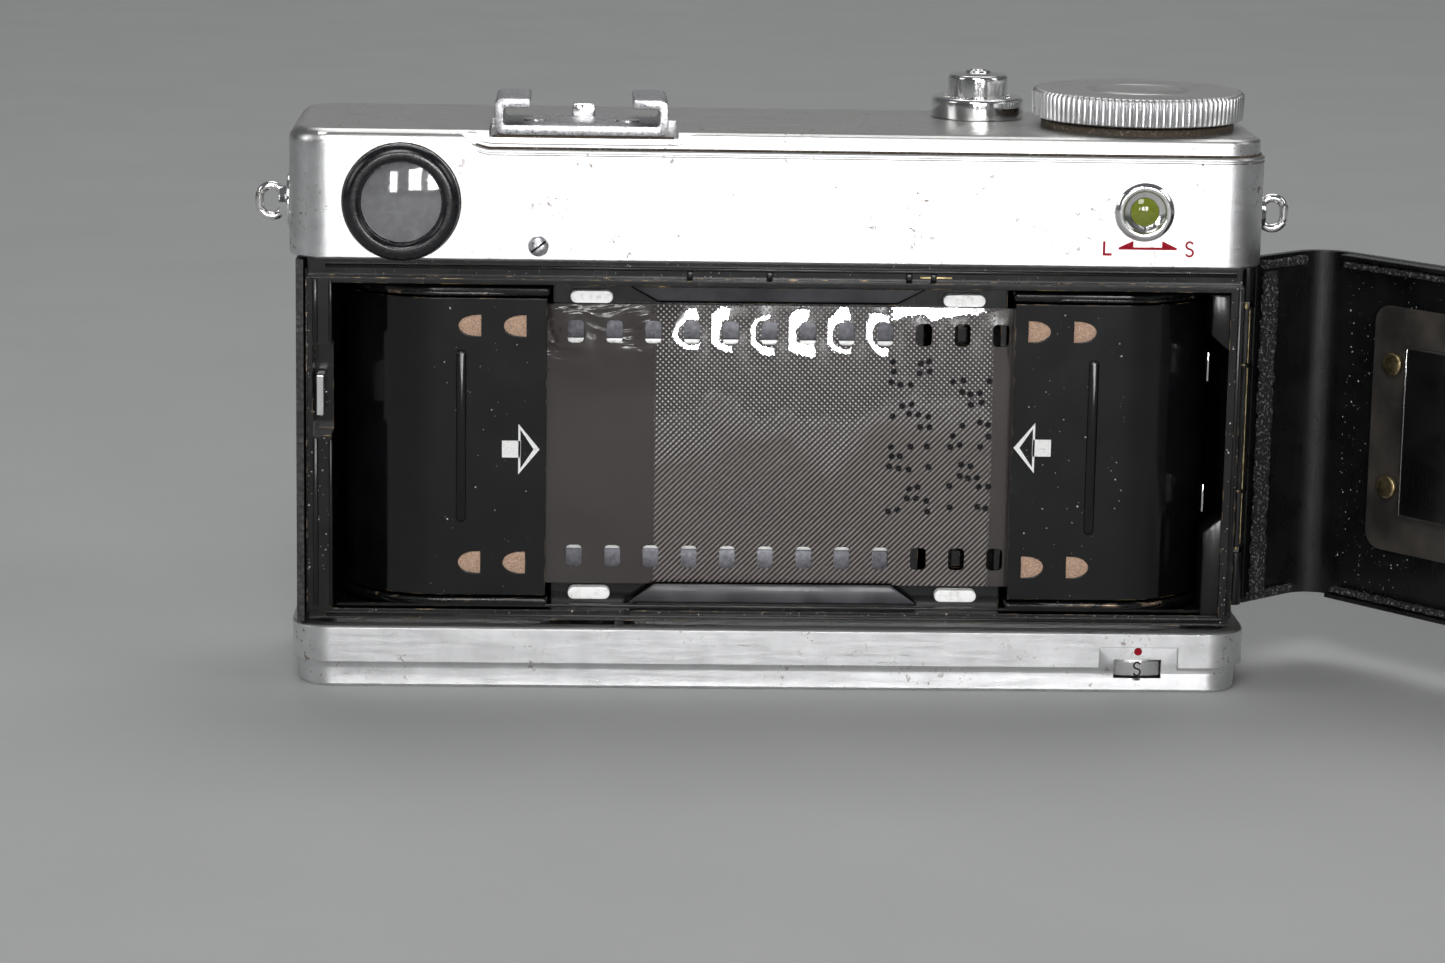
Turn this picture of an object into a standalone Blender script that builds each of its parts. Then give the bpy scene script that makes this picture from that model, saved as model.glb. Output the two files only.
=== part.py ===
"""A compact 35 mm viewfinder camera for drop-in cassettes, with its back door open and film loaded.

Sizes are in millimetres, and MM turns them into Blender's metres when a mesh is made.
+X is the photographer's right, +Y is the way the lens points and +Z is up.
The origin is the middle of the bottom plate's underside.
The door is drawn closed and then swung about its hinge to the angle at which it rests.
"""

import math

import bmesh
import bpy
from mathutils import Matrix, Vector

MM = 0.001
GAP = 0.3

# Levels, from the table up
PLATE_STEP = 3.3
PLATE_TOP = 7.9
COVER_BOTTOM = 53.35
TIER_SEAM = 66.6
DECK = 69.1
AXIS_X = 0.7
AXIS_Z = 29.9

# Outlines seen from above
COVER_HALF_WIDTH = 59.3
PLATE_HALF_WIDTH = 59.1
CHASSIS_HALF_WIDTH = 57.0
SKIN_HALF_WIDTH = 58.3
REAR = -15.0
FRONT = 15.0
CHASSIS_REAR = -13.8
CHASSIS_FRONT = 13.8
END_RADIUS = 5.0
COVER_WALL = 1.2

# Film and cassettes
FILM_Y = -9.5
FILM_THICKNESS = 0.2
FILM_HALF_LENGTH = 30.5
FILM_HALF_WIDTH = 17.5
GATE_FACE_Y = -9.1
GATE_HALF_LENGTH = 18.0
GATE_HALF_HEIGHT = 12.0
PERFORATION_PITCH = 4.75
PERFORATION_COUNT = 12
PERFORATION_LENGTH = 1.98
PERFORATION_HEIGHT = 2.79
PERFORATION_ROW = 14.1
FIRST_PERFORATION_X = -24.4
CASSETTE_X = 42.0
CASSETTE_Y = -0.5
CASSETTE_RADIUS = 12.0
CASSETTE_LIP_X = 28.6
CASSETTE_LIP_DEPTH = 4.1
CASSETTE_HALF_HEIGHT = 20.0
CASSETTE_WALL = 0.6
CAP_HEIGHT = 1.2
CAP_OVERHANG = 0.3
CHAMBER_INNER_X = 27.9
CHAMBER_OUTER_X = 54.7
CHAMBER_HALF_HEIGHT = 20.4

# Sprocket
SPROCKET_X = FIRST_PERFORATION_X + 10 * PERFORATION_PITCH
SPROCKET_Y = -4.6
SPROCKET_TEETH = 6
SPROCKET_ROOT_RADIUS = 3.4
SPROCKET_TIP_RADIUS = 4.45

# Door
HINGE_X = 59.4
HINGE_Y = -1.0
DOOR_REST_ANGLE = math.radians(130)
DOOR_INNER_Y = -15.0
DOOR_OUTER_Y = -16.0
DOOR_BOTTOM = 8.4
DOOR_TOP = 52.8
DOOR_LEFT = -58.5
DOOR_RIGHT = 60.0
DOOR_SHEET = 1.0
DOOR_END_Y = HINGE_Y - 1.3
LIP_REACH_Y = -13.0
RABBET_Y = -12.2

# Controls
SHUTTER_X = 25.7
SHUTTER_Y = 7.2
WHEEL_X = 44.9
WHEEL_Y = -0.5
WHEEL_RADIUS = 13.1
WHEEL_FLUTES = 48
EYEPIECE_X = -45.5
EYEPIECE_Z = 60.4
INDICATOR_X = 44.2
INDICATOR_Z = 60.3
LUG_Y = -1.4
LUG_Z = 58.5
DRUM_X = 45.6
DRUM_Y = -5.6
DRUM_RADIUS = 8.3
TRIPOD_X = -22.0


def clear_scene():
    for obj in list(bpy.data.objects):
        bpy.data.objects.remove(obj)


def finish(name, colour, roughness, metallic):
    """A plain Principled material."""
    material = bpy.data.materials.new(name)
    material.use_nodes = True
    shader = material.node_tree.nodes["Principled BSDF"]
    shader.inputs["Base Color"].default_value = (*colour, 1)
    shader.inputs["Roughness"].default_value = roughness
    shader.inputs["Metallic"].default_value = metallic
    return material


clear_scene()
BLACK_PAINT = finish("black_paint", (0.02, 0.02, 0.021), 0.45, 0.0)
SATIN_METAL = finish("satin_metal", (0.62, 0.61, 0.58), 0.33, 1.0)
CHROME = finish("chrome", (0.8, 0.8, 0.79), 0.12, 1.0)
BRASS = finish("brass", (0.62, 0.44, 0.2), 0.35, 1.0)
LEATHERETTE = finish("leatherette", (0.025, 0.025, 0.026), 0.7, 0.0)
BLACK_PLASTIC = finish("black_plastic", (0.018, 0.018, 0.019), 0.3, 0.0)
GLASS = finish("glass", (0.5, 0.55, 0.6), 0.05, 0.0)
GREEN_GLASS = finish("green_glass", (0.2, 0.25, 0.05), 0.15, 0.0)
FILM = finish("film", (0.2, 0.14, 0.1), 0.3, 0.0)
WHITE_PAD = finish("white_pad", (0.7, 0.7, 0.66), 0.5, 0.0)
FOAM = finish("foam", (0.03, 0.028, 0.025), 0.95, 0.0)
GREY_PAINT = finish("grey_paint", (0.11, 0.1, 0.09), 0.5, 0.0)


def add_mesh(name, points, faces, material):
    """A closed mesh object from points in millimetres, with its faces turned outwards."""
    mesh = bpy.data.meshes.new(name)
    mesh.from_pydata([Vector(point) * MM for point in points], [], faces)
    shape = bmesh.new()
    shape.from_mesh(mesh)
    bmesh.ops.recalc_face_normals(shape, faces=shape.faces)
    shape.to_mesh(mesh)
    shape.free()
    mesh.materials.append(material)
    obj = bpy.data.objects.new(name, mesh)
    bpy.context.collection.objects.link(obj)
    return obj


def loft(name, rings, material):
    """A solid through rings of equal point count, closed by a flat face at each end."""
    count = len(rings[0])
    points = [point for ring in rings for point in ring]
    faces = [list(range(count)), list(range(len(points) - count, len(points)))]
    for level in range(len(rings) - 1):
        low = level * count
        for i in range(count):
            j = (i + 1) % count
            faces.append([low + i, low + j, low + count + j, low + count + i])
    return add_mesh(name, points, faces, material)


def place(u, v, along, axis):
    """A point from its two coordinates across an axis and one along it."""
    return {"X": (along, u, v), "Y": (u, along, v), "Z": (u, v, along)}[axis]


def prism(name, outline, axis, start, end, material):
    rings = [[place(u, v, along, axis) for u, v in outline] for along in (start, end)]
    return loft(name, rings, material)


def box(name, low, high, material):
    outline = [(low[0], low[1]), (high[0], low[1]), (high[0], high[1]), (low[0], high[1])]
    return prism(name, outline, "Z", low[2], high[2], material)


def turned(name, profile, centre, axis, material, steps=32):
    """A solid turned about an axis from (radius, place along the axis) pairs.

    A profile that starts and ends on the axis gives a solid, and one that stays off it gives a ring.
    """
    points = []
    rows = []
    for radius, along in profile:
        row = []
        for i in range(steps if radius else 1):
            angle = 2 * math.pi * i / steps
            row.append(len(points))
            u = centre[0] + radius * math.cos(angle)
            v = centre[1] + radius * math.sin(angle)
            points.append(place(u, v, along, axis))
        rows.append(row)
    pairs = list(zip(rows, rows[1:]))
    if profile[0][0] and profile[-1][0]:
        pairs.append((rows[-1], rows[0]))
    faces = []
    for lower, upper in pairs:
        for i in range(steps):
            j = (i + 1) % steps
            face = [lower[i % len(lower)], lower[j % len(lower)], upper[j % len(upper)], upper[i % len(upper)]]
            face = list(dict.fromkeys(face))
            if len(face) > 2:
                faces.append(face)
    return add_mesh(name, points, faces, material)


def swept_loop(name, route, wire_radius, material, sides=8):
    """A closed wire of round section along a closed route of 3-D points that lies in an XZ plane."""
    points = []
    count = len(route)
    for i, point in enumerate(route):
        before = Vector(route[i - 1])
        after = Vector(route[(i + 1) % count])
        along = (after - before).normalized()
        across = Vector((0, 1, 0))
        outward = along.cross(across)
        for side in range(sides):
            angle = 2 * math.pi * side / sides
            points.append(Vector(point) + wire_radius * (math.cos(angle) * outward + math.sin(angle) * across))
    faces = []
    for i in range(count):
        j = (i + 1) % count
        for side in range(sides):
            other = (side + 1) % sides
            faces.append([i * sides + side, i * sides + other, j * sides + other, j * sides + side])
    return add_mesh(name, points, faces, material)


def combine(target, tool, operation):
    """Applies a Boolean to the target and removes the tool."""
    modifier = target.modifiers.new(operation.lower(), "BOOLEAN")
    modifier.operation = operation
    modifier.solver = "EXACT"
    modifier.object = tool
    bpy.context.view_layer.update()
    graph = bpy.context.evaluated_depsgraph_get()
    result = bpy.data.meshes.new_from_object(target.evaluated_get(graph))
    target.modifiers.clear()
    target.data = result
    bpy.data.objects.remove(tool)
    return target


def cut(target, *tools):
    for tool in tools:
        combine(target, tool, "DIFFERENCE")
    return target


def join(target, *tools):
    for tool in tools:
        combine(target, tool, "UNION")
    return target


def smooth(obj, angle=35):
    obj.data.shade_smooth()
    obj.data.set_sharp_from_angle(angle=math.radians(angle))


def set_origin(obj, point):
    """Moves an object's origin, and leaves its shape where it is."""
    offset = Vector(point) * MM
    obj.data.transform(Matrix.Translation(-offset))
    obj.location = offset


def arc(centre, radius, start, end, steps):
    """Points on an arc, with angles in degrees."""
    points = []
    for i in range(steps + 1):
        angle = math.radians(start + (end - start) * i / steps)
        points.append((centre[0] + radius * math.cos(angle), centre[1] + radius * math.sin(angle)))
    return points


def rounded_rectangle(low, high, radius, steps=6):
    points = arc((high[0] - radius, high[1] - radius), radius, 0, 90, steps)
    points += arc((low[0] + radius, high[1] - radius), radius, 90, 180, steps)
    points += arc((low[0] + radius, low[1] + radius), radius, 180, 270, steps)
    points += arc((high[0] - radius, low[1] + radius), radius, 270, 360, steps)
    return points


def housing_outline(half_width, inset):
    """The outline of the top and bottom covers, drawn in by an inset."""
    low = (-half_width + inset, REAR + inset)
    high = (half_width - inset, FRONT - inset)
    return rounded_rectangle(low, high, END_RADIUS - inset)


def stacked(name, half_width, stations, material):
    """A cover whose outline has an inset at each height."""
    rings = []
    for inset, height in stations:
        rings.append([(x, y, height) for x, y in housing_outline(half_width, inset)])
    return loft(name, rings, material)


def cutter(low, high):
    return box("cutter", low, high, BLACK_PAINT)


def round_cutter(radius, start, end, centre, axis, steps=32):
    return turned("cutter", [(0, start), (radius, start), (radius, end), (0, end)], centre, axis, BLACK_PAINT, steps)


# Top cover and what it carries


def top_cover():
    edge = 1.8
    stations = [(0.25, COVER_BOTTOM), (0, COVER_BOTTOM + 0.25)]
    for i in range(5):
        angle = math.radians(90 * i / 4)
        stations.append((edge * (1 - math.cos(angle)), DECK - edge + edge * math.sin(angle)))
    cover = stacked("top_cover", COVER_HALF_WIDTH, stations, SATIN_METAL)
    hollow = stacked("hollow", COVER_HALF_WIDTH, [(COVER_WALL, COVER_BOTTOM - 2), (COVER_WALL, DECK - 2.0)], SATIN_METAL)
    tier = stacked("tier", COVER_HALF_WIDTH + 3, [(0, TIER_SEAM), (0, DECK + 2)], SATIN_METAL)
    keep = stacked("keep", COVER_HALF_WIDTH, [(0.55, TIER_SEAM - 2), (0.55, DECK + 4)], SATIN_METAL)
    cut(tier, keep)
    slant = [(-35.1, TIER_SEAM - 1), (70, TIER_SEAM - 1), (70, DECK + 3), (-42.1, DECK + 3)]
    combine(tier, prism("slant", slant, "Y", -30, 30, SATIN_METAL), "INTERSECT")
    cut(cover, hollow, tier)
    cut(cover, cutter((-35.0, REAR - 2, DECK - 0.85), (-12.3, -1.9, DECK + 2)))
    cut(cover, round_cutter(6.0, REAR - 3, REAR + 4, (EYEPIECE_X, EYEPIECE_Z), "Y"))
    cut(cover, cutter((-53.4, FRONT - 4, 55.4), (-38.0, FRONT + 2, 65.0)))
    cut(cover, cutter((-32.0, FRONT - 4, 55.4), (4.0, FRONT + 2, 65.0)))
    cut(cover, round_cutter(2.1, REAR - 3, REAR + 4, (INDICATOR_X, INDICATOR_Z), "Y", 24))
    cut(cover, round_cutter(4.2, DECK - 4, DECK + 2, (SHUTTER_X, SHUTTER_Y), "Z"))
    cut(cover, round_cutter(3.3, DECK - 4, DECK + 2, (WHEEL_X, WHEEL_Y), "Z"))
    smooth(cover)


def accessory_shoe():
    left, right = -34.4, -13.5
    base, floor, under, top = DECK - 0.55, DECK + 0.65, DECK + 2.7, DECK + 3.8
    wall, reach = 1.1, 4.3
    outline = [(left, base), (right, base), (right, top), (right - reach, top), (right - reach, under)]
    outline += [(right - wall, under), (right - wall, floor), (left + wall, floor), (left + wall, under)]
    outline += [(left + reach, under), (left + reach, top), (left, top)]
    shoe = prism("accessory_shoe", outline, "Y", -14.4, -2.4, CHROME)
    join(shoe, box("tab", (-25.1, -3.3, floor - 0.2), (-22.3, -2.4, floor + 1.5), CHROME))


def shutter_release():
    centre = (SHUTTER_X, SHUTTER_Y)
    ring = [(4.1, DECK + GAP), (5.75, DECK + GAP), (5.75, DECK + 2.3), (5.4, DECK + 2.6), (4.1, DECK + 2.6)]
    smooth(turned("shutter_collar", ring, centre, "Z", CHROME, 40))
    stem = [(0, DECK - 6), (1.5, DECK - 6), (1.5, DECK - 1.5), (3.7, DECK - 1.5), (3.75, DECK + 5.2), (3.3, DECK + 5.5)]
    stem += [(1.5, DECK + 5.9), (1.1, DECK + 5.9), (1.0, DECK + 4.0), (0, DECK + 4.0)]
    button = turned("shutter_button", stem, centre, "Z", CHROME, 32)
    smooth(button)
    set_origin(button, (SHUTTER_X, SHUTTER_Y, DECK))


def fluted_outline(centre, radius, depth, flutes):
    """A round outline whose radius steps in and out."""
    points = []
    for i in range(flutes * 2):
        angle = math.pi * i / flutes
        r = radius - depth * (i % 2)
        points.append((centre[0] + r * math.cos(angle), centre[1] + r * math.sin(angle)))
    return points


def advance_wheel():
    centre = (WHEEL_X, WHEEL_Y)
    outline = fluted_outline(centre, WHEEL_RADIUS, 0.35, WHEEL_FLUTES)
    wheel = prism("advance_wheel", outline, "Z", DECK + 1.1, DECK + 4.4, SATIN_METAL)
    cut(wheel, round_cutter(6.1, DECK + 3.7, DECK + 6, centre, "Z"))
    shaft = [(0, DECK - 7), (2.8, DECK - 7), (2.8, DECK + 2), (0, DECK + 2)]
    join(wheel, turned("shaft", shaft, centre, "Z", SATIN_METAL, 24))
    set_origin(wheel, (WHEEL_X, WHEEL_Y, DECK))
    disc = [(0, DECK + 4.0), (5.8, DECK + 4.0), (5.8, DECK + 4.35), (5.5, DECK + 4.5), (0, DECK + 4.6)]
    cap = turned("wheel_cap", disc, centre, "Z", SATIN_METAL, 40)
    smooth(cap)
    set_origin(cap, (WHEEL_X, WHEEL_Y, DECK))


def finder():
    centre = (EYEPIECE_X, EYEPIECE_Z)
    profile = [(4.95, REAR - 1.2), (5.3, REAR - 1.7), (6.3, REAR - 1.7), (7.05, REAR - 1.1), (7.05, REAR - GAP)]
    profile += [(5.6, REAR - GAP), (5.6, REAR + 2), (4.95, REAR + 2)]
    smooth(turned("eyepiece_ring", profile, centre, "Y", BLACK_PLASTIC, 40))
    glass = [(0, REAR - 1.1), (2.6, REAR - 1.0), (4.6, REAR - 0.6), (4.6, REAR + 0.8), (0, REAR + 0.8)]
    smooth(turned("eyepiece_glass", glass, centre, "Y", GLASS, 32))
    tube = box("finder_tube", (-52.8, -12.2, 54.6), (-38.4, 12.6, 65.6), BLACK_PLASTIC)
    cut(tube, cutter((-52.0, -20, 55.4), (-39.2, 20, 64.8)))
    pane_low, pane_high = (-53.1, 13.0, 55.7), (-38.3, 14.7, 64.7)
    outline = rounded_rectangle((pane_low[0], pane_low[2]), (pane_high[0], pane_high[2]), 1.0, 3)
    prism("finder_window", outline, "Y", pane_low[1], pane_high[1], GLASS)
    outline = rounded_rectangle((-31.7, 55.7), (3.7, 64.7), 1.0, 3)
    prism("meter_window", outline, "Y", 13.0, 14.7, GLASS)


def indicator():
    centre = (INDICATOR_X, INDICATOR_Z)
    ring = [(2.0, REAR - 0.4), (2.6, REAR - 0.45), (2.7, REAR - 0.9), (3.2, REAR - 0.9), (3.55, REAR - 0.6)]
    ring += [(3.55, REAR - GAP), (2.0, REAR - GAP)]
    smooth(turned("indicator_ring", ring, centre, "Y", CHROME, 32))
    lens = [(0, REAR - 0.9), (1.0, REAR - 0.8), (1.7, REAR - 0.4), (1.7, REAR + 1.5), (0, REAR + 1.5)]
    smooth(turned("indicator_lens", lens, centre, "Y", GREEN_GLASS, 20))


def strap_lug(name, side):
    face = COVER_HALF_WIDTH + GAP
    profile = [(0, face), (3.5, face), (3.5, face + 0.4), (1.8, face + 0.5), (1.8, face + 1.5), (0, face + 1.5)]
    profile = [(radius, side * along) for radius, along in profile]
    lug = turned(name, profile, (LUG_Y, LUG_Z), "X", CHROME, 24)
    wire = 0.53
    low = (face + 1.0, LUG_Z - 1.9)
    high = (face + 4.0, LUG_Z + 1.9)
    route = [(side * x, LUG_Y, z) for x, z in rounded_rectangle(low, high, 1.3, 4)]
    join(lug, swept_loop("loop", route, wire, CHROME))
    smooth(lug)


def rear_screw():
    centre = (-29.0, 55.2)
    head = [(0, REAR - 0.85), (0.9, REAR - 0.8), (1.25, REAR - 0.5), (1.25, REAR - GAP), (0, REAR - GAP)]
    screw = turned("rear_screw", head, centre, "Y", CHROME, 20)
    slot = box("slot", (-1.6, -0.5, -0.15), (1.6, 0.5, 0.15), CHROME)
    slot.matrix_world = Matrix.Translation(Vector((centre[0], REAR - 0.95, centre[1])) * MM) @ Matrix.Rotation(
        math.radians(-50), 4, "Y"
    )
    cut(screw, slot)
    smooth(screw)


# Bottom plate and what it carries


def bottom_plate():
    stations = [(1.3, 0), (0.9, 0.4), (0.75, 2.7), (0.45, PLATE_STEP), (0, PLATE_STEP + 0.1)]
    stations += [(0, PLATE_TOP - 0.25), (0.25, PLATE_TOP)]
    plate = stacked("bottom_plate", PLATE_HALF_WIDTH, stations, SATIN_METAL)
    hollow = [(2.1, 1.5), (2.1, PLATE_TOP + 2)]
    cut(plate, stacked("hollow", PLATE_HALF_WIDTH, hollow, SATIN_METAL))
    cut(plate, cutter((DRUM_X - 4.9, REAR - 1, PLATE_STEP - 2), (DRUM_X + 4.9, REAR + 0.65, 5.97)))
    cut(plate, cutter((DRUM_X - 2.95, REAR - 1, 1.9), (DRUM_X + 2.95, REAR + 3, 4.3)))
    cut(plate, round_cutter(DRUM_RADIUS + GAP, 1.6, 4.5, (DRUM_X, DRUM_Y), "Z", 40))
    cut(plate, round_cutter(5.0, -1, 3, (DRUM_X, DRUM_Y), "Z"))
    cut(plate, round_cutter(5.9, -1, 3, (TRIPOD_X, 0), "Z"))
    smooth(plate)


def lock_drum():
    centre = (DRUM_X, DRUM_Y)
    profile = [(0, 0.5), (4.6, 0.5), (4.6, 1.9), (DRUM_RADIUS, 1.9), (DRUM_RADIUS, 4.2), (0, 4.2)]
    drum = turned("lock_drum", profile, centre, "Z", CHROME, 40)
    cut(drum, cutter((DRUM_X - 6, DRUM_Y - 0.7, -1), (DRUM_X + 6, DRUM_Y + 0.7, 1.4)))
    smooth(drum)
    set_origin(drum, (DRUM_X, DRUM_Y, 0))


def tripod_bush():
    profile = [(3.17, 0.3), (5.55, 0.3), (5.55, 6.8), (3.17, 6.8)]
    smooth(turned("tripod_bush", profile, (TRIPOD_X, 0), "Z", CHROME, 24))


# Chassis with its chambers, gate and covering


def chamber(side):
    """The space for one cassette: round at the front and open at the rear."""
    centre_x = (CHAMBER_INNER_X + CHAMBER_OUTER_X) / 2
    radius = (CHAMBER_OUTER_X - CHAMBER_INNER_X) / 2
    outline = [(CHAMBER_INNER_X, -25)] + arc((centre_x, CASSETTE_Y), radius, 180, 0, 16) + [(CHAMBER_OUTER_X, -25)]
    outline = [(AXIS_X + side * x, y) for x, y in outline]
    low, high = AXIS_Z - CHAMBER_HALF_HEIGHT, AXIS_Z + CHAMBER_HALF_HEIGHT
    return prism("cutter", outline, "Z", low, high, BLACK_PAINT)


def film_edge_guide(side):
    """A low guide outside one edge of the film."""
    near, far = AXIS_Z + side * (FILM_HALF_WIDTH + 0.35), AXIS_Z + side * (CHAMBER_HALF_HEIGHT + 0.5)
    half_near, half_far = 14.7, 18.4
    outline = [(AXIS_X - half_near, near), (AXIS_X + half_near, near), (AXIS_X + half_far, far), (AXIS_X - half_far, far)]
    return prism("guide", outline, "Y", -10.3, GATE_FACE_Y + 1, BLACK_PAINT)


def light_tunnel():
    """The space between gate and lens, narrowing forwards."""
    rings = []
    for along, half_width, half_height in ((GATE_FACE_Y - 1, 18, 12), (-7.5, 18, 12), (CHASSIS_FRONT + 2, 9, 9)):
        low, high = (AXIS_X - half_width, AXIS_Z - half_height), (AXIS_X + half_width, AXIS_Z + half_height)
        rings.append([(x, along, z) for x, z in rounded_rectangle(low, high, 0.5, 2)])
    return loft("cutter", rings, BLACK_PAINT)


def chassis():
    radius = END_RADIUS - 1
    outline = [(-CHASSIS_HALF_WIDTH, CHASSIS_REAR), (CHASSIS_HALF_WIDTH, CHASSIS_REAR)]
    outline += arc((CHASSIS_HALF_WIDTH - radius, CHASSIS_FRONT - radius), radius, 0, 90, 5)
    outline += arc((-CHASSIS_HALF_WIDTH + radius, CHASSIS_FRONT - radius), radius, 90, 180, 5)
    body = prism("chassis", outline, "Z", PLATE_TOP + GAP, COVER_BOTTOM - GAP, BLACK_PAINT)
    low, high = AXIS_Z - CHAMBER_HALF_HEIGHT, AXIS_Z + CHAMBER_HALF_HEIGHT
    cut(body, chamber(-1), chamber(1))
    cut(body, cutter((AXIS_X - CHAMBER_INNER_X - 1, -25, low), (AXIS_X + CHAMBER_INNER_X + 1, GATE_FACE_Y, high)))
    join(body, film_edge_guide(1), film_edge_guide(-1))
    cut(body, light_tunnel())
    cut(body, cutter((-70, -25, high + 0.7), (70, RABBET_Y, 80)))
    cut(body, cutter((-70, -25, 0), (70, RABBET_Y, low)))
    for row in (-1, 1):
        centre = AXIS_Z + row * PERFORATION_ROW
        low_corner = (SPROCKET_X - 4.75, GATE_FACE_Y - 1, centre - 1.9)
        cut(body, cutter(low_corner, (SPROCKET_X + 4.75, 0.2, centre + 1.9)))
    cut(body, cutter((SPROCKET_X - 3.3, GATE_FACE_Y - 1, 16.4), (SPROCKET_X + 3.3, -1.2, 43.4)))
    cut(body, round_cutter(1.9, AXIS_Z - 19.3, AXIS_Z + 19.3, (SPROCKET_X, SPROCKET_Y), "Z", 20))
    cut(body, cutter((-56.3, -25, 31.5), (-53.5, -9.2, 42.6)))
    cut(body, cutter((56.4, -5.8, 0), (70, HINGE_Y + 1.6, 80)))
    smooth(body)


def body_covering():
    """A U-shaped skin round the front and both ends, with a hole for the lens."""
    thickness = 0.9
    outer, inner = END_RADIUS, END_RADIUS - thickness
    right_end, left_end = HINGE_Y + 1.6, CHASSIS_REAR
    x = SKIN_HALF_WIDTH
    outline = [(x - thickness, right_end), (x, right_end)]
    outline += arc((x - outer, FRONT - outer), outer, 0, 90, 6)
    outline += arc((-x + outer, FRONT - outer), outer, 90, 180, 6)
    outline += [(-x, left_end), (-x + thickness, left_end)]
    outline += arc((-x + outer, FRONT - outer), inner, 180, 90, 6)
    outline += arc((x - outer, FRONT - outer), inner, 90, 0, 6)
    skin = prism("body_covering", outline, "Z", PLATE_TOP + GAP, COVER_BOTTOM - GAP, LEATHERETTE)
    cut(skin, round_cutter(21.2, 5, 25, (AXIS_X, AXIS_Z), "Y", 48))
    smooth(skin)


# Lens, from the body forwards


def lens():
    centre = (AXIS_X, AXIS_Z)
    ring = [(13, 14.1), (20.9, 14.1), (20.9, 16.2), (20.5, 16.6), (13, 16.6)]
    smooth(turned("lens_mount_ring", ring, centre, "Y", SATIN_METAL, 40))
    housing = [(9.3, 16.9), (20, 16.9), (20, 25), (18, 25), (18, 33), (16, 33), (16, 24.5), (9.3, 24.5)]
    smooth(turned("shutter_housing", housing, centre, "Y", BLACK_PLASTIC, 40))
    glass = [(0, 17.2), (6, 17.6), (8.9, 18.4), (8.9, 20.4), (0, 20.4)]
    smooth(turned("rear_lens", glass, centre, "Y", GLASS, 28))
    for name, side, start in (("shutter_blade_upper", 1, 21.2), ("shutter_blade_lower", -1, 22.0)):
        half = arc((AXIS_X, AXIS_Z + side * 0.4), 8.6, 0, side * 180, 10)
        prism(name, half, "Y", start, start + GAP, BLACK_PAINT)
    ring = fluted_outline(centre, 21.2, 0.5, 24)
    aperture = prism("aperture_ring", ring, "Y", 25.4, 28.7, BLACK_PLASTIC)
    cut(aperture, round_cutter(18.4, 20, 40, centre, "Y", 40))
    set_origin(aperture, (AXIS_X, 27, AXIS_Z))
    ring = fluted_outline(centre, 20.6, 0.6, 30)
    focus = prism("focus_ring", ring, "Y", 29.1, 34.6, SATIN_METAL)
    cut(focus, round_cutter(18.4, 20, 40, centre, "Y", 40))
    set_origin(focus, (AXIS_X, 31, AXIS_Z))
    bezel = [(9.9, 30.5), (15.6, 30.5), (15.6, 35.4), (14.8, 35.8), (10.7, 33.6), (9.9, 33.6)]
    smooth(turned("front_bezel", bezel, centre, "Y", SATIN_METAL, 40))
    glass = [(0, 28), (9.5, 28), (9.5, 31.4), (6.5, 32.6), (3.2, 33.2), (0, 33.4)]
    smooth(turned("front_lens", glass, centre, "Y", GLASS, 28))


# Film, cassettes and the pieces that guide the film


def cassette_outline(side, grow):
    """A round shell with a flat back that runs on to the film slot, made larger by grow."""
    radius = CASSETTE_RADIUS + grow
    lip_x = CASSETTE_LIP_X - grow
    rear_y = CASSETTE_Y - radius
    lip_y = CASSETTE_Y - CASSETTE_RADIUS + CASSETTE_LIP_DEPTH + grow
    outline = [(lip_x, rear_y), (lip_x, lip_y)]
    outline += arc((CASSETTE_X, CASSETTE_Y), radius, 215, -90, 22)
    return [(AXIS_X + side * x, y) for x, y in outline]


def cassette(name, side):
    low, high = AXIS_Z - CASSETTE_HALF_HEIGHT, AXIS_Z + CASSETTE_HALF_HEIGHT
    shell_low, shell_high = low + CAP_HEIGHT + GAP, high - CAP_HEIGHT - GAP
    shell = prism(name, cassette_outline(side, 0), "Z", shell_low, shell_high, BLACK_PAINT)
    inside = cassette_outline(side, -CASSETTE_WALL)
    cut(shell, prism("cutter", inside, "Z", shell_low - 5, shell_high + 5, BLACK_PAINT))
    slot_x = sorted((AXIS_X + side * (CASSETTE_LIP_X - 2), AXIS_X + side * (CASSETTE_LIP_X + 2)))
    slot_low = (slot_x[0], FILM_Y - 0.45, AXIS_Z - FILM_HALF_WIDTH - 0.4)
    slot_high = (slot_x[1], FILM_Y + 0.45, AXIS_Z + FILM_HALF_WIDTH + 0.4)
    cut(shell, cutter(slot_low, slot_high))
    smooth(shell)
    for end, start, stop in (("top", high - CAP_HEIGHT, high), ("bottom", low, low + CAP_HEIGHT)):
        cap = prism(f"{name}_cap_{end}", cassette_outline(side, CAP_OVERHANG), "Z", start, stop, BLACK_PAINT)
        smooth(cap)


def film_strip():
    low = (AXIS_X - FILM_HALF_LENGTH, FILM_Y - FILM_THICKNESS / 2, AXIS_Z - FILM_HALF_WIDTH)
    high = (AXIS_X + FILM_HALF_LENGTH, FILM_Y + FILM_THICKNESS / 2, AXIS_Z + FILM_HALF_WIDTH)
    strip = box("film_strip", low, high, FILM)
    for row in (-1, 1):
        for i in range(PERFORATION_COUNT):
            x = FIRST_PERFORATION_X + i * PERFORATION_PITCH
            z = AXIS_Z + row * PERFORATION_ROW
            hole_low = (x - PERFORATION_LENGTH / 2, FILM_Y - 1, z - PERFORATION_HEIGHT / 2)
            hole_high = (x + PERFORATION_LENGTH / 2, FILM_Y + 1, z + PERFORATION_HEIGHT / 2)
            cut(strip, cutter(hole_low, hole_high))


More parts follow.
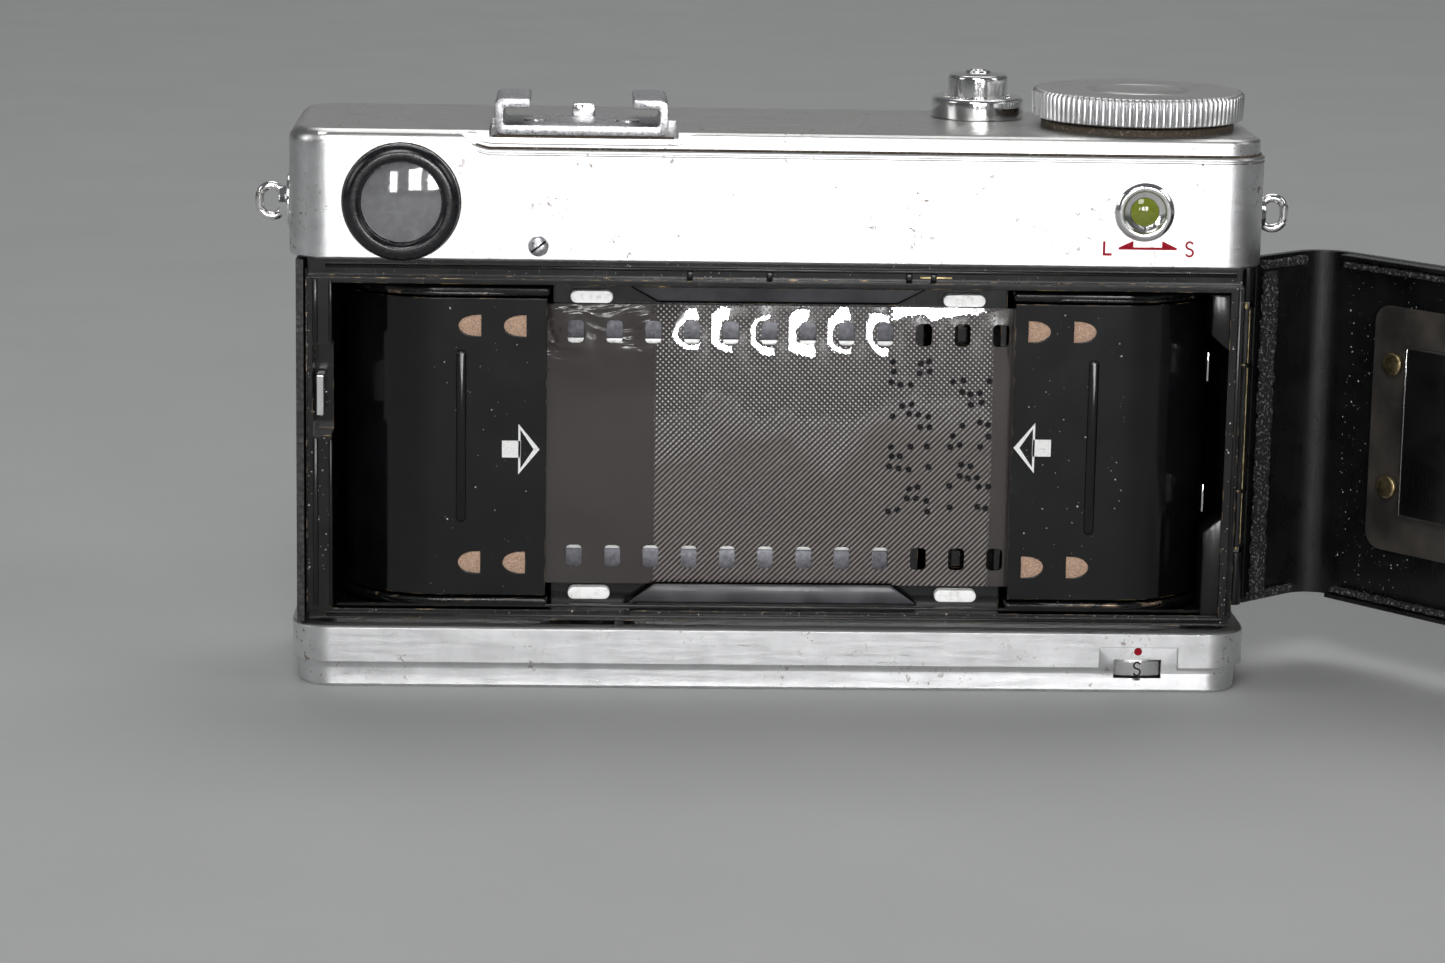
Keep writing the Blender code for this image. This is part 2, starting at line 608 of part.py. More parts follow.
def guide_pads():
    half_length, half_height = 2.6, 0.76
    offset = FILM_HALF_WIDTH + 1.05
    for name, x, side in (
        ("guide_pad_top_left", -22.5, 1),
        ("guide_pad_top_right", 23.1, 1),
        ("guide_pad_bottom_left", -22.5, -1),
        ("guide_pad_bottom_right", 23.0, -1),
    ):
        z = AXIS_Z + side * offset
        outline = rounded_rectangle((x - half_length, z - half_height), (x + half_length, z + half_height), 0.75, 4)
        prism(name, outline, "Y", -10.9, GATE_FACE_Y - GAP, WHITE_PAD)


def sprocket_shaft():
    centre = (SPROCKET_X, SPROCKET_Y)
    profile = [(0, AXIS_Z - 18.9), (1.5, AXIS_Z - 18.9), (1.5, AXIS_Z - PERFORATION_ROW - 1.5)]
    for row in (-1, 1):
        z = AXIS_Z + row * PERFORATION_ROW
        profile += [(SPROCKET_ROOT_RADIUS, z - 1.5), (SPROCKET_ROOT_RADIUS, z + 1.5)]
        profile.append((2.4 if row < 0 else 1.5, z + 1.5))
        if row < 0:
            profile.append((2.4, AXIS_Z + PERFORATION_ROW - 1.5))
    profile += [(1.5, AXIS_Z + 18.9), (0, AXIS_Z + 18.9)]
    shaft = turned("sprocket_shaft", profile, centre, "Z", SATIN_METAL, 24)
    for row in (-1, 1):
        z = AXIS_Z + row * PERFORATION_ROW
        for i in range(SPROCKET_TEETH):
            tooth = box("tooth", (-0.55, -SPROCKET_TIP_RADIUS, z - 0.9), (0.55, -1, z + 0.9), SATIN_METAL)
            turn = Matrix.Rotation(2 * math.pi * i / SPROCKET_TEETH, 4, "Z")
            tooth.matrix_world = Matrix.Translation(Vector((SPROCKET_X, SPROCKET_Y, 0)) * MM) @ turn
            join(shaft, tooth)
    smooth(shaft)
    set_origin(shaft, (SPROCKET_X, SPROCKET_Y, AXIS_Z))


def latch_catch():
    outline = [(-55.9, -13.2), (-55.0, -13.2), (-55.0, -9.9), (-55.9, -9.9)]
    catch = prism("latch_catch", outline, "Z", 33.8, 38.8, CHROME)
    set_origin(catch, (-55.45, -11.5, 36))


# Door, drawn closed


def door_shell():
    corner = 5.0
    x, y = DOOR_RIGHT - corner, DOOR_OUTER_Y + corner
    outline = [(DOOR_LEFT, DOOR_INNER_Y), (DOOR_LEFT, DOOR_OUTER_Y)]
    outline += arc((x, y), corner, 270, 360, 8)
    outline += [(DOOR_RIGHT, DOOR_END_Y), (DOOR_RIGHT - DOOR_SHEET, DOOR_END_Y)]
    outline += arc((x, y), corner - DOOR_SHEET, 360, 270, 8)
    shell = prism("back_door", outline, "Z", DOOR_BOTTOM, DOOR_TOP, BLACK_PAINT)
    for low, high in ((DOOR_BOTTOM + 0.05, DOOR_BOTTOM + 0.6), (DOOR_TOP - 0.6, DOOR_TOP - 0.05)):
        join(shell, box("lip", (-57.0, DOOR_INNER_Y - 0.5, low), (54.5, LIP_REACH_Y, high), BLACK_PAINT))
    for low, high in ((16, 23), (39.5, 46.5)):
        ring = [(0.6, low), (1.0, low), (1.0, high), (0.6, high)]
        knuckle = turned("knuckle", ring, (HINGE_X, HINGE_Y), "Z", BLACK_PAINT, 16)
        web_low, web_high = (59.1, DOOR_END_Y - 0.6, low + 0.1), (59.9, HINGE_Y - 0.7, high - 0.1)
        join(knuckle, box("web", web_low, web_high, BLACK_PAINT))
        join(shell, knuckle)
    smooth(shell)
    return shell


def door_covering():
    outline = rounded_rectangle((-57.5, 9.4), (54.5, 51.8), 2.0, 4)
    return prism("door_covering", outline, "Y", DOOR_OUTER_Y - 1.0, DOOR_OUTER_Y - GAP, LEATHERETTE)


def pressure_plate():
    outline = rounded_rectangle((-26.8, AXIS_Z - 17.1), (28.2, AXIS_Z + 17.1), 1.5, 3)
    return prism("pressure_plate", outline, "Y", -11.4, -10.2, GREY_PAINT)


def pressure_spring():
    """A bowed leaf that pushes the pressure plate away from the door."""
    half_length, thickness, steps = 21.0, 0.3, 10
    rear, front = DOOR_INNER_Y + GAP, -11.7
    depth = front - thickness - rear
    near = []
    for i in range(steps + 1):
        x = half_length * (2 * i / steps - 1)
        near.append((AXIS_X + x, rear + depth * (x / half_length) ** 2))
    far = [(x, y + thickness) for x, y in reversed(near)]
    return prism("pressure_spring", near + far, "Z", AXIS_Z - 6, AXIS_Z + 6, SATIN_METAL)


def cassette_springs():
    centre_z = 31.5
    pieces = []
    for name, side in (("left", -1), ("right", 1)):
        x = sorted((side * 49.4, side * 31.0))
        outline = rounded_rectangle((x[0], centre_z - 15.6), (x[1], centre_z + 15.6), 2.2, 4)
        plate = prism(f"cassette_spring_{name}", outline, "Y", DOOR_INNER_Y + GAP, DOOR_INNER_Y + 0.8, GREY_PAINT)
        leaf_x = sorted((side * 43.7, side * 32.5))
        leaf_low = (leaf_x[0], DOOR_INNER_Y + 0.6, centre_z - 10.7)
        leaf_high = (leaf_x[1], DOOR_INNER_Y + 1.6, centre_z + 10.9)
        join(plate, box("leaf", leaf_low, leaf_high, GREY_PAINT))
        pieces.append(plate)
        for level, z in (("top", centre_z + 8.4), ("bottom", centre_z - 7.3)):
            start = DOOR_INNER_Y + 0.8 + GAP
            head = [(0, start), (1.4, start), (1.4, start + 0.2), (0.8, start + 0.55), (0, start + 0.65)]
            rivet = turned(f"spring_rivet_{name}_{level}", head, (side * 45.9, z), "Y", BRASS, 16)
            smooth(rivet)
            pieces.append(rivet)
    return pieces


def door_seals():
    rear, front = DOOR_INNER_Y + GAP, -13.2
    top = box("door_seal_top", (-53.4, rear, 51.2), (54.0, front, 51.9), FOAM)
    bottom = box("door_seal_bottom", (-53.4, rear, 9.3), (54.0, front, 9.8), FOAM)
    hinge = box("door_seal_hinge", (57.8, -5.2, 9.6), (58.7, -2.8, 51.0), FOAM)
    return [top, bottom, hinge]


def latch_hook():
    hook = box("latch_hook", (-56.6, DOOR_INNER_Y + GAP, 39.1), (-53.7, DOOR_INNER_Y + 0.8, 42.3), CHROME)
    join(hook, box("tongue", (-55.9, DOOR_INNER_Y + 0.5, 39.4), (-55.1, -10.6, 42.1), CHROME))
    return hook


def door():
    pieces = [door_shell(), door_covering(), pressure_plate(), pressure_spring(), latch_hook()]
    pieces += cassette_springs()
    pieces += door_seals()
    axis = (HINGE_X, HINGE_Y, AXIS_Z)
    for piece in pieces:
        set_origin(piece, axis)
        piece.rotation_euler = (0, 0, DOOR_REST_ANGLE)


def hinge():
    centre = (HINGE_X, HINGE_Y)
    smooth(turned("hinge_pin", [(0, 15.4), (0.35, 15.4), (0.35, 47.1), (0, 47.1)], centre, "Z", BRASS, 12))
    leaf = turned("hinge_leaf", [(0.6, 23.3), (1.0, 23.3), (1.0, 39.2), (0.6, 39.2)], centre, "Z", BRASS, 16)
    join(leaf, box("plate", (57.4, HINGE_Y - 0.4, 23.4), (HINGE_X - 0.7, HINGE_Y + 1.3, 39.1), BRASS))
    smooth(leaf)


top_cover()
accessory_shoe()
shutter_release()
advance_wheel()
finder()
indicator()
strap_lug("strap_lug_left", -1)
strap_lug("strap_lug_right", 1)
rear_screw()
bottom_plate()
lock_drum()
tripod_bush()
chassis()
body_covering()
lens()
cassette("cassette_left", -1)
cassette("cassette_right", 1)
film_strip()
guide_pads()
sprocket_shaft()
latch_catch()
door()
hinge()
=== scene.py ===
import random
from math import copysign, cos, exp, pi, radians, sin, sqrt

import bmesh
import bpy
from mathutils import Matrix, Vector, noise


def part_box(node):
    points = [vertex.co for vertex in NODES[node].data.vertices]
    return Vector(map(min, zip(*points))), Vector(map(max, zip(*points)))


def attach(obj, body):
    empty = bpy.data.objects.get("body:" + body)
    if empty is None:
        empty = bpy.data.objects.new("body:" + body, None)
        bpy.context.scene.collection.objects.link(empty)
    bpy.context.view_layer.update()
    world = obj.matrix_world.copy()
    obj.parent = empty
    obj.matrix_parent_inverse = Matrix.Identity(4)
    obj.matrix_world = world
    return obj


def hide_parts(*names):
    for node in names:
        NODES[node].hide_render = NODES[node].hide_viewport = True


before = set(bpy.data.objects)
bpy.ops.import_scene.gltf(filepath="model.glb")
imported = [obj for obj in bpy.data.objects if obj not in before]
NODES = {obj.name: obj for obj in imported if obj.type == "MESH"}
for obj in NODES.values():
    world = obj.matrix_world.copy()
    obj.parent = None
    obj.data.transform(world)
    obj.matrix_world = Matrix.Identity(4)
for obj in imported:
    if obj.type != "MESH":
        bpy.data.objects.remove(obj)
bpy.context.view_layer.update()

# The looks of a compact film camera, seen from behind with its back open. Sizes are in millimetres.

MM = 0.001
CHOICE = random.Random(7)

# Places that the CAD model fixes
AXIS_X, AXIS_Z = 0.7, 29.9
REAR, FRONT = -15.0, 15.0
DECK = 69.1
STEP = 66.55
FILM_Y = -9.5
HINGE = (59.4, -1.0)
DOOR_ANGLE = radians(130)
DOOR_INNER_Y = -15.0
DRUM_CENTRE, DRUM_RADIUS = (45.6, -5.6), 8.25
PERFORATION_PITCH = 4.75
FIRST_PERFORATION_X = -24.4
PERFORATION_ROW = 14.1
DOT_PITCH = 0.7

# The smallest distance from an axis at which a turned profile counts as a ring's
ON_AXIS = 0.02
# The sizes of the dust grains
SMALLEST_SPECK, LARGEST_SPECK = 0.04, 0.13


def corners(node):
    """A CAD node's lowest and highest corners, in millimetres."""
    low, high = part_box(node)
    return low / MM, high / MM


# Materials


class Surface:
    """A Principled material, and short ways to add the nodes that give it detail, in millimetres."""

    def __init__(self, name, colour, roughness, metallic=0.0, **values):
        self.material = bpy.data.materials.new(name)
        self.material.use_nodes = True
        self.tree = self.material.node_tree
        self.shader = self.tree.nodes["Principled BSDF"]
        self.set("Base Color", colour).set("Roughness", roughness).set("Metallic", metallic)
        for key, value in values.items():
            self.set(key.replace("_", " "), value)
        self.place = self.node("ShaderNodeTexCoord").outputs["Object"]

    def set(self, name, value):
        self.link(value, self.shader.inputs[name])
        return self

    def link(self, value, socket):
        """Links an output to a socket, or sets a number, a vector or a colour on it."""
        if isinstance(value, bpy.types.NodeSocket):
            self.tree.links.new(value, socket)
        else:
            socket.default_value = (*value, 1) if socket.type == "RGBA" else value

    def node(self, kind, sockets=None, **settings):
        """A node with its settings, and with these sockets linked or set."""
        node = self.tree.nodes.new(kind)
        for key, value in settings.items():
            setattr(node, key, value)
        for key, value in (sockets or {}).items():
            self.link(value, node.inputs[key])
        return node

    def math(self, operation, a, b=0.0, clamp=False):
        settings = {"operation": operation, "use_clamp": clamp}
        return self.node("ShaderNodeMath", {0: a, 1: b}, **settings).outputs[0]

    def plus(self, a, b):
        return self.math("ADD", a, b)

    def minus(self, a, b):
        return self.math("SUBTRACT", a, b)

    def times(self, a, b):
        return self.math("MULTIPLY", a, b)

    def both(self, *masks):
        """1 where every mask is 1, and 0 where any of them is 0."""
        result = masks[0]
        for mask in masks[1:]:
            result = self.math("MULTIPLY", result, mask, clamp=True)
        return result

    def along(self, axis):
        """The place along an axis."""
        split = self.node("ShaderNodeSeparateXYZ", {0: self.place})
        return self.math("DIVIDE", split.outputs[axis], MM)

    def mapped(self, stretch, turn=(0, 0, 0)):
        sockets = {"Vector": self.place, "Scale": stretch, "Rotation": turn}
        return self.node("ShaderNodeMapping", sockets).outputs[0]

    def noise(self, size, detail, stretch=(1, 1, 1), distortion=0.0, turn=(0, 0, 0)):
        """Noise whose features are about size across."""
        sockets = {"Vector": self.mapped(stretch, turn), "Scale": 1 / (size * MM)}
        sockets.update({"Detail": detail, "Distortion": distortion})
        return self.node("ShaderNodeTexNoise", sockets).outputs["Fac"]

    def cells(self, size):
        sockets = {"Vector": self.mapped((1, 1, 1)), "Scale": 1 / (size * MM)}
        return self.node("ShaderNodeTexVoronoi", sockets).outputs["Distance"]

    def band(self, value, low, high, start=0.0, end=1.0, kind="LINEAR"):
        """value from low to high, mapped onto start to end."""
        sockets = {"Value": value, "From Min": low, "From Max": high, "To Min": start, "To Max": end}
        return self.node("ShaderNodeMapRange", sockets, interpolation_type=kind).outputs[0]

    def cloud(self, size, detail, low, high, start=0.0, end=1.0, **more):
        """Noise from low to high, mapped onto start to end."""
        return self.band(self.noise(size, detail, **more), low, high, start, end)

    def blend(self, mask, first, second):
        """A colour that goes from first to second as mask goes from 0 to 1."""
        sockets = {"Factor": mask, 6: first, 7: second}
        return self.node("ShaderNodeMix", sockets, data_type="RGBA").outputs[2]

    def edges(self, radius):
        """1 on sharp outer and inner edges and 0 away from them."""
        soft = self.node("ShaderNodeBevel", {"Radius": radius * MM}, samples=6).outputs[0]
        true = self.node("ShaderNodeNewGeometry").outputs["Normal"]
        dot = self.node("ShaderNodeVectorMath", {0: soft, 1: true}, operation="DOT_PRODUCT")
        return self.band(dot.outputs["Value"], 0.995, 0.86)

    def colour(self, output):
        return self.set("Base Color", output)

    def rough(self, output):
        return self.set("Roughness", output)

    def metal(self, output):
        return self.set("Metallic", output)

    def tones(self, first, second, *cloud, **more):
        """Two tones, mixed by a cloud."""
        return self.colour(self.blend(self.cloud(*cloud, **more), first, second))

    def shine(self, *cloud, **more):
        """Roughness that follows a cloud."""
        return self.rough(self.cloud(*cloud, **more))

    def relief(self, *layers, soften=0.0):
        """Bump from (height, depth) layers, over edges softened by a radius; the finished material."""
        sockets = {}
        if soften:
            bevel = self.node("ShaderNodeBevel", {"Radius": soften * MM}, samples=4)
            sockets["Normal"] = bevel.outputs[0]
        for height, depth in layers:
            sockets.update({"Height": height, "Distance": depth * MM})
            sockets["Normal"] = self.node("ShaderNodeBump", sockets).outputs[0]
        return self.set("Normal", sockets["Normal"]).material

    def grain(self, size, detail, depth, soften=0.0):
        """Bump from one noise; the finished material."""
        return self.relief((self.noise(size, detail), depth), soften=soften)


def satin_chrome():
    """Fine satin plating with stains, with painted shade that darkens its colour where it faces up, and
    tilted a little near the floor.
    """
    s = Surface("satin_chrome", (0.72, 0.72, 0.73), 0.34, 1.0)
    clean = s.blend(s.cloud(3.0, 6, 0.3, 0.72), (0.66, 0.66, 0.67), (0.82, 0.82, 0.83))
    stain = s.both(s.cloud(0.7, 8, 0.6, 0.68, distortion=0.6), s.cloud(7.0, 3, 0.5, 0.62))
    facing_for_painted_shade = s.node("ShaderNodeSeparateXYZ", {0: s.node("ShaderNodeTexCoord").outputs["Normal"]})
    # Painted shade: the colour goes darker where the surface faces up.
    clean = s.blend(s.band(facing_for_painted_shade.outputs["Z"], 0.15, 0.5), clean, (0.57, 0.57, 0.555))
    s.colour(s.blend(stain, clean, (0.26, 0.23, 0.2)))
    s.rough(s.plus(s.cloud(0.5, 5, 0.3, 0.8, 0.27, 0.42, stretch=(0.08, 1, 1)), s.times(stain, 0.25)))
    skirt = s.band(s.along("Z"), 0.3, 2.5, 0.0, -0.27)
    return s.relief((skirt, 1.0), (s.noise(0.11, 2), 0.012), (s.noise(0.4, 6), 0.008), soften=0.12)


def bright_chrome():
    s = Surface("bright_chrome", (0.8, 0.8, 0.8), 0.1, 1.0)
    tarnish = s.cloud(1.1, 7, 0.55, 0.75, distortion=0.4)
    s.colour(s.blend(tarnish, (0.83, 0.83, 0.83), (0.6, 0.57, 0.52)))
    s.rough(s.plus(s.cloud(0.12, 4, 0.4, 0.8, 0.07, 0.2, stretch=(1, 1, 0.1)), s.times(tarnish, 0.2)))
    return s.grain(0.25, 5, 0.004, 0.14)


def worn_chrome():
    """Plating that sliding feet have roughened."""
    s = Surface("worn_chrome", (0.55, 0.55, 0.58), 0.3, 1.0)
    s.tones((0.66, 0.66, 0.68), (0.36, 0.35, 0.37), 0.5, 7, 0.38, 0.66, distortion=0.5)
    return s.shine(0.3, 6, 0.3, 0.75, 0.22, 0.48).grain(0.2, 6, 0.03, 0.14)


def black_enamel(name, gloss, base, wear=True):
    """Glossy black paint with handling marks, fine dust, and edges rubbed through to the metal."""
    s = Surface(name, base, gloss, 0.0, Coat_Weight=0.12, Coat_Roughness=0.1, Specular_IOR_Level=0.36)
    haze = s.cloud(6.0, 5, 0.4, 0.7, distortion=0.5)
    paint = s.blend(haze, base, tuple(2.0 * c for c in base))
    dust = s.both(s.cloud(0.16, 2, 0.76, 0.8, 0.0, 0.4), s.cloud(5.0, 3, 0.45, 0.6))
    paint = s.blend(dust, paint, (0.34, 0.33, 0.3))
    lie = {"stretch": (1, 1, 0.07), "turn": (0.2, 0.5, 0.3)}
    scratch = s.cloud(0.35, 3, 0.5, 0.85, gloss, gloss + 0.12, **lie)
    s.rough(s.plus(scratch, s.times(haze, 0.06))).colour(paint)
    if wear:
        rubbed = s.both(s.edges(0.2), s.cloud(1.6, 5, 0.54, 0.7))
        s.colour(s.blend(rubbed, paint, (0.5, 0.36, 0.18))).metal(rubbed)
    return s.grain(0.5, 4, 0.006, 0.25)


def leathercloth():
    s = Surface("leathercloth", (0.02, 0.02, 0.021), 0.6)
    cells = s.cells(0.75)
    s.colour(s.blend(s.band(cells, 0.1, 0.7), (0.028, 0.028, 0.029), (0.01, 0.01, 0.01)))
    return s.shine(4, 4, 0.3, 0.7, 0.45, 0.66).relief((cells, 0.11), (s.noise(0.3, 4), 0.03))


def black_plastic():
    s = Surface("black_plastic", (0.01, 0.01, 0.012), 0.25, Coat_Weight=0.1, Coat_Roughness=0.12)
    s.tones((0.004, 0.004, 0.005), (0.012, 0.0125, 0.016), 0.8, 6, 0.45, 0.75)
    return s.shine(0.5, 5, 0.3, 0.8, 0.15, 0.36).grain(0.2, 4, 0.008, 0.15)


def film_base():
    """Film whose right two thirds are pressed with a diamond pattern, and whose upper edge glints,
    partly through a tilted bump and partly through painted highlight.
    """
    s = Surface("film_base", (0.05, 0.04, 0.035), 0.2, 0.0, Coat_Weight=0.9, Coat_Roughness=0.08)
    s.shine(2.0, 5, 0.3, 0.75, 0.12, 0.22)
    along, height = s.along("X"), s.along("Z")

    # The pressed pattern: dots above and slanting lines below, with a cloudy border
    turn = 2 * pi / DOT_PITCH
    x_turns, z_turns = s.times(along, turn), s.times(height, turn)
    dots = s.band(s.times(s.math("COSINE", x_turns), s.math("COSINE", z_turns)), 0.2, 1.0)
    lines = s.band(s.times(s.math("COSINE", s.minus(x_turns, z_turns)), 0.5), -0.2, 0.5)
    drift = s.cloud(11.0, 3, 0.3, 0.7, -6.0, 6.0)
    upper = s.band(s.plus(height, drift), AXIS_Z - 2, AXIS_Z + 7)
    pattern = s.plus(s.times(dots, upper), s.times(lines, s.minus(0.9, upper)))
    pattern = s.both(pattern, s.both(s.band(along, -14.7, -14.4), s.band(along, 27.2, 26.6)))
    # Painted highlight: the pattern's crests are light grey low down and near white in the upper part,
    # where the film glints.
    crest_and_painted_highlight = s.blend(upper, (0.29, 0.258, 0.246), (0.97, 0.95, 0.96))
    streak = s.cloud(14.0, 4, 0.3, 0.72, stretch=(0.35, 1, 1), distortion=0.8)
    smooth = s.blend(streak, (0.02, 0.014, 0.012), (0.036, 0.027, 0.024))
    patterned = s.blend(s.math("POWER", pattern, 1.4), smooth, crest_and_painted_highlight)

    # Crescents beside the perforations and a ragged band along the edge, tilted towards the light, and
    # with painted highlight in their colour
    level = s.minus(height, AXIS_Z)
    above = s.minus(level, PERFORATION_ROW)
    phase = s.minus(along, FIRST_PERFORATION_X - 2.5 * PERFORATION_PITCH)
    beside = s.minus(s.math("MODULO", phase, PERFORATION_PITCH), PERFORATION_PITCH / 2)
    distance = s.math("SQRT", s.plus(s.times(beside, beside), s.times(above, above)))
    distance = s.plus(distance, s.cloud(2.2, 3, 0.3, 0.7, -0.35, 0.35))
    outer = s.band(s.minus(s.cloud(9.0, 2, 0.4, 0.62, 2.7, 3.7), distance), 0.0, 0.5)
    side = s.band(s.plus(beside, s.cloud(4.0, 2, 0.3, 0.7, -0.9, 0.9)), 0.5, 0.3)
    crescent = s.both(s.band(distance, 1.4, 1.7), outer, side, s.band(along, 14.4, 13.9))
    ragged = s.band(s.plus(above, s.cloud(3.5, 2, 0.35, 0.65, -0.7, 0.7)), 1.6, 2.4)
    top_edge = s.both(ragged, s.band(along, 13.2, 14.6), s.band(along, 26.6, 25.6))
    glint = s.both(s.math("MAXIMUM", crescent, top_edge), s.band(along, -13.2, -12.8))
    glint = s.band(s.plus(glint, s.times(dots, 0.42)), 0.48, 0.95)
    # Painted highlight: the glint mask turns the colour light grey and metallic.
    s.colour(s.blend(glint, patterned, (0.6, 0.59, 0.6))).metal(s.times(glint, 0.95))

    # The sag of the pressed part, the creased loose end, and the pattern itself
    reach = s.band(s.plus(level, s.band(drift, -6.0, 6.0, -0.8, 0.8)), 0.0, 17.5)
    marked = s.band(along, -15.5, -11.0, kind="SMOOTHSTEP")
    sag = s.times(s.times(s.times(reach, reach), marked), -0.6)
    tilt = s.times(s.times(above, -0.09), glint)
    loose_end = s.both(s.band(level, 6.0, 14.0, kind="SMOOTHSTEP"), s.band(along, -11.0, -16.0))
    wrinkles = s.times(s.noise(5.0, 3, stretch=(0.5, 1, 1), distortion=1.2), loose_end)
    pattern = s.times(pattern, s.minus(1.0, glint))
    ripple = s.noise(8.0, 3, stretch=(0.4, 1, 1))
    return s.relief((ripple, 0.05), (sag, 1.0), (tilt, 1.0), (wrinkles, 1.3), (pattern, 0.1))


def rubbed_rim():
    """Black enamel on a rolled rim, rubbed through to brass in places."""
    s = Surface("rubbed_rim", (0.004, 0.004, 0.004), 0.2)
    rubbed = s.cloud(1.6, 6, 0.55, 0.66, stretch=(0.35, 1, 1), distortion=0.3)
    s.colour(s.blend(rubbed, (0.004, 0.004, 0.004), (0.36, 0.27, 0.19))).metal(rubbed)
    return s.shine(0.4, 4, 0.3, 0.7, 0.15, 0.35).grain(0.4, 4, 0.01)


def velvet():
    s = Surface("velvet", (0.3, 0.2, 0.13), 0.9, Sheen_Weight=0.5, Sheen_Roughness=0.5)
    return s.tones((0.26, 0.15, 0.1), (0.62, 0.43, 0.31), 0.14, 5, 0.3, 0.7).grain(0.14, 5, 0.12)


def foam():
    """Perished foam, black with pale grey crumbs."""
    s = Surface("perished_foam", (0.02, 0.02, 0.02), 0.9)
    s.tones((0.008, 0.008, 0.008), (0.19, 0.185, 0.175), 0.35, 6, 0.53, 0.66)
    return s.relief((s.cells(0.3), 0.25), (s.noise(0.15, 5), 0.15))


def brass():
    s = Surface("aged_brass", (0.55, 0.42, 0.2), 0.35, 1.0)
    s.tones((0.62, 0.5, 0.27), (0.26, 0.2, 0.11), 0.8, 6, 0.4, 0.68)
    return s.shine(0.3, 5, 0.3, 0.75, 0.25, 0.5).grain(0.2, 5, 0.02, 0.1)


def grey_brown_paint():
    s = Surface("grey_brown_paint", (0.05, 0.045, 0.04), 0.4, 0.3)
    paint = s.blend(s.cloud(5.0, 5, 0.35, 0.7), (0.03, 0.028, 0.026), (0.075, 0.066, 0.058))
    s.colour(s.blend(s.cloud(0.2, 3, 0.7, 0.76, 0, 0.6), paint, (0.3, 0.28, 0.24)))
    return s.shine(1.5, 5, 0.3, 0.75, 0.3, 0.5, stretch=(1, 1, 0.2)).grain(0.3, 4, 0.01, 0.1)


def rail_metal():
    s = Surface("rail_metal", (0.16, 0.16, 0.18), 0.45, 0.7)
    s.tones((0.1, 0.1, 0.115), (0.2, 0.2, 0.22), 0.5, 5, 0.3, 0.7)
    return s.shine(0.3, 4, 0.3, 0.7, 0.35, 0.55, stretch=(0.1, 1, 1)).grain(0.2, 3, 0.008)


def white_plastic():
    s = Surface("white_pad", (0.7, 0.7, 0.68), 0.45, 0.3)
    s.tones((0.95, 0.95, 0.94), (0.68, 0.67, 0.64), 0.7, 6, 0.5, 0.75)
    return s.shine(0.4, 4, 0.3, 0.7, 0.35, 0.6).grain(0.25, 5, 0.03)


def ink(name, colour, worn, shine=0.5):
    s = Surface(name, colour, 0.5, Specular_IOR_Level=shine)
    s.tones(colour, worn, 0.3, 5, 0.56, 0.72)
    return s.shine(0.4, 4, 0.3, 0.7, 0.4, 0.6).grain(0.15, 4, 0.01)


def lens_glass(name, colour, clear, coat=1.0):
    s = Surface(name, colour, 0.05, Coat_Weight=coat, Coat_Roughness=0.03, IOR=1.52)
    s.set("Transmission Weight", clear)
    smear = s.cloud(1.2, 5, 0.4, 0.75, distortion=1.0)
    s.rough(s.plus(0.04, s.times(smear, 0.1)))
    s.colour(s.blend(smear, colour, tuple(min(1.0, 1.25 * c) for c in colour)))
    return s.grain(3.0, 2, 0.01)


def pale_dust():
    s = Surface("pale_dust", (0.45, 0.44, 0.41), 0.85)
    return s.tones((0.2, 0.19, 0.18), (0.68, 0.67, 0.64), 0.5, 3, 0.35, 0.65).grain(0.1, 3, 0.02)


def pale_floor():
    s = Surface("pale_floor", (0.4, 0.405, 0.4), 0.75)
    return s.tones((0.39, 0.395, 0.39), (0.41, 0.415, 0.41), 40, 4, 0.3, 0.7).grain(0.8, 4, 0.02)


SATIN = satin_chrome()
CHROME = bright_chrome()
WORN_CHROME = worn_chrome()
CASTING = black_enamel("black_casting", 0.17, (0.003, 0.003, 0.0033))
GUIDE_PAINT = black_enamel("guide_paint", 0.3, (0.045, 0.045, 0.05))
ENAMEL = black_enamel("cassette_enamel", 0.09, (0.0022, 0.0022, 0.0026))
DOOR_PAINT = black_enamel("door_paint", 0.26, (0.0035, 0.0035, 0.004), wear=False)
LEATHER = leathercloth()
PLASTIC = black_plastic()
FILM = film_base()
RUBBED = rubbed_rim()
VELVET = velvet()
FOAM = foam()
BRASS = brass()
GREY_PAINT = grey_brown_paint()
RAIL = rail_metal()
PAD = white_plastic()
WHITE_INK = ink("white_ink", (0.78, 0.78, 0.77), (0.5, 0.5, 0.49))
RED_INK = ink("red_ink", (0.3, 0.008, 0.02), (0.4, 0.09, 0.1), 0.03)
DARK_INK = ink("dark_ink", (0.006, 0.006, 0.008), (0.03, 0.03, 0.035), 0.1)
MATT_BLACK = ink("matt_black", (0.001, 0.001, 0.001), (0.004, 0.004, 0.004), 0.02)
# Dark brown used for dirt in grooves, and also for painted shade: lines under the cover's beads, the
# gap under the shoe and the ring under the wheel.
GRIME_AND_SHADE = ink("grime_and_shade", (0.07, 0.055, 0.04), (0.3, 0.28, 0.26), 0.05)
CLEAR = lens_glass("clear_glass", (0.2, 0.2, 0.21), 0.25)
FRONT_GLASS = lens_glass("front_glass", (0.03, 0.035, 0.05), 0.2)
GREEN = lens_glass("green_glass", (0.15, 0.18, 0.02), 0.0, 0.2)
DUST = pale_dust()
FLOOR = pale_floor()


# Shapes


def add_mesh(name, points, faces, material, sharp=35):
    """A mesh object from points, with its faces turned outwards and its soft edges smooth."""
    mesh = bpy.data.meshes.new(name)
    mesh.from_pydata([Vector(point) * MM for point in points], [], faces)
    shape = bmesh.new()
    shape.from_mesh(mesh)
    bmesh.ops.recalc_face_normals(shape, faces=shape.faces)
    shape.to_mesh(mesh)
    shape.free()
    mesh.materials.append(material)
    mesh.shade_smooth()
    mesh.set_sharp_from_angle(angle=radians(sharp))
    obj = bpy.data.objects.new(name, mesh)
    bpy.context.collection.objects.link(obj)
    return obj


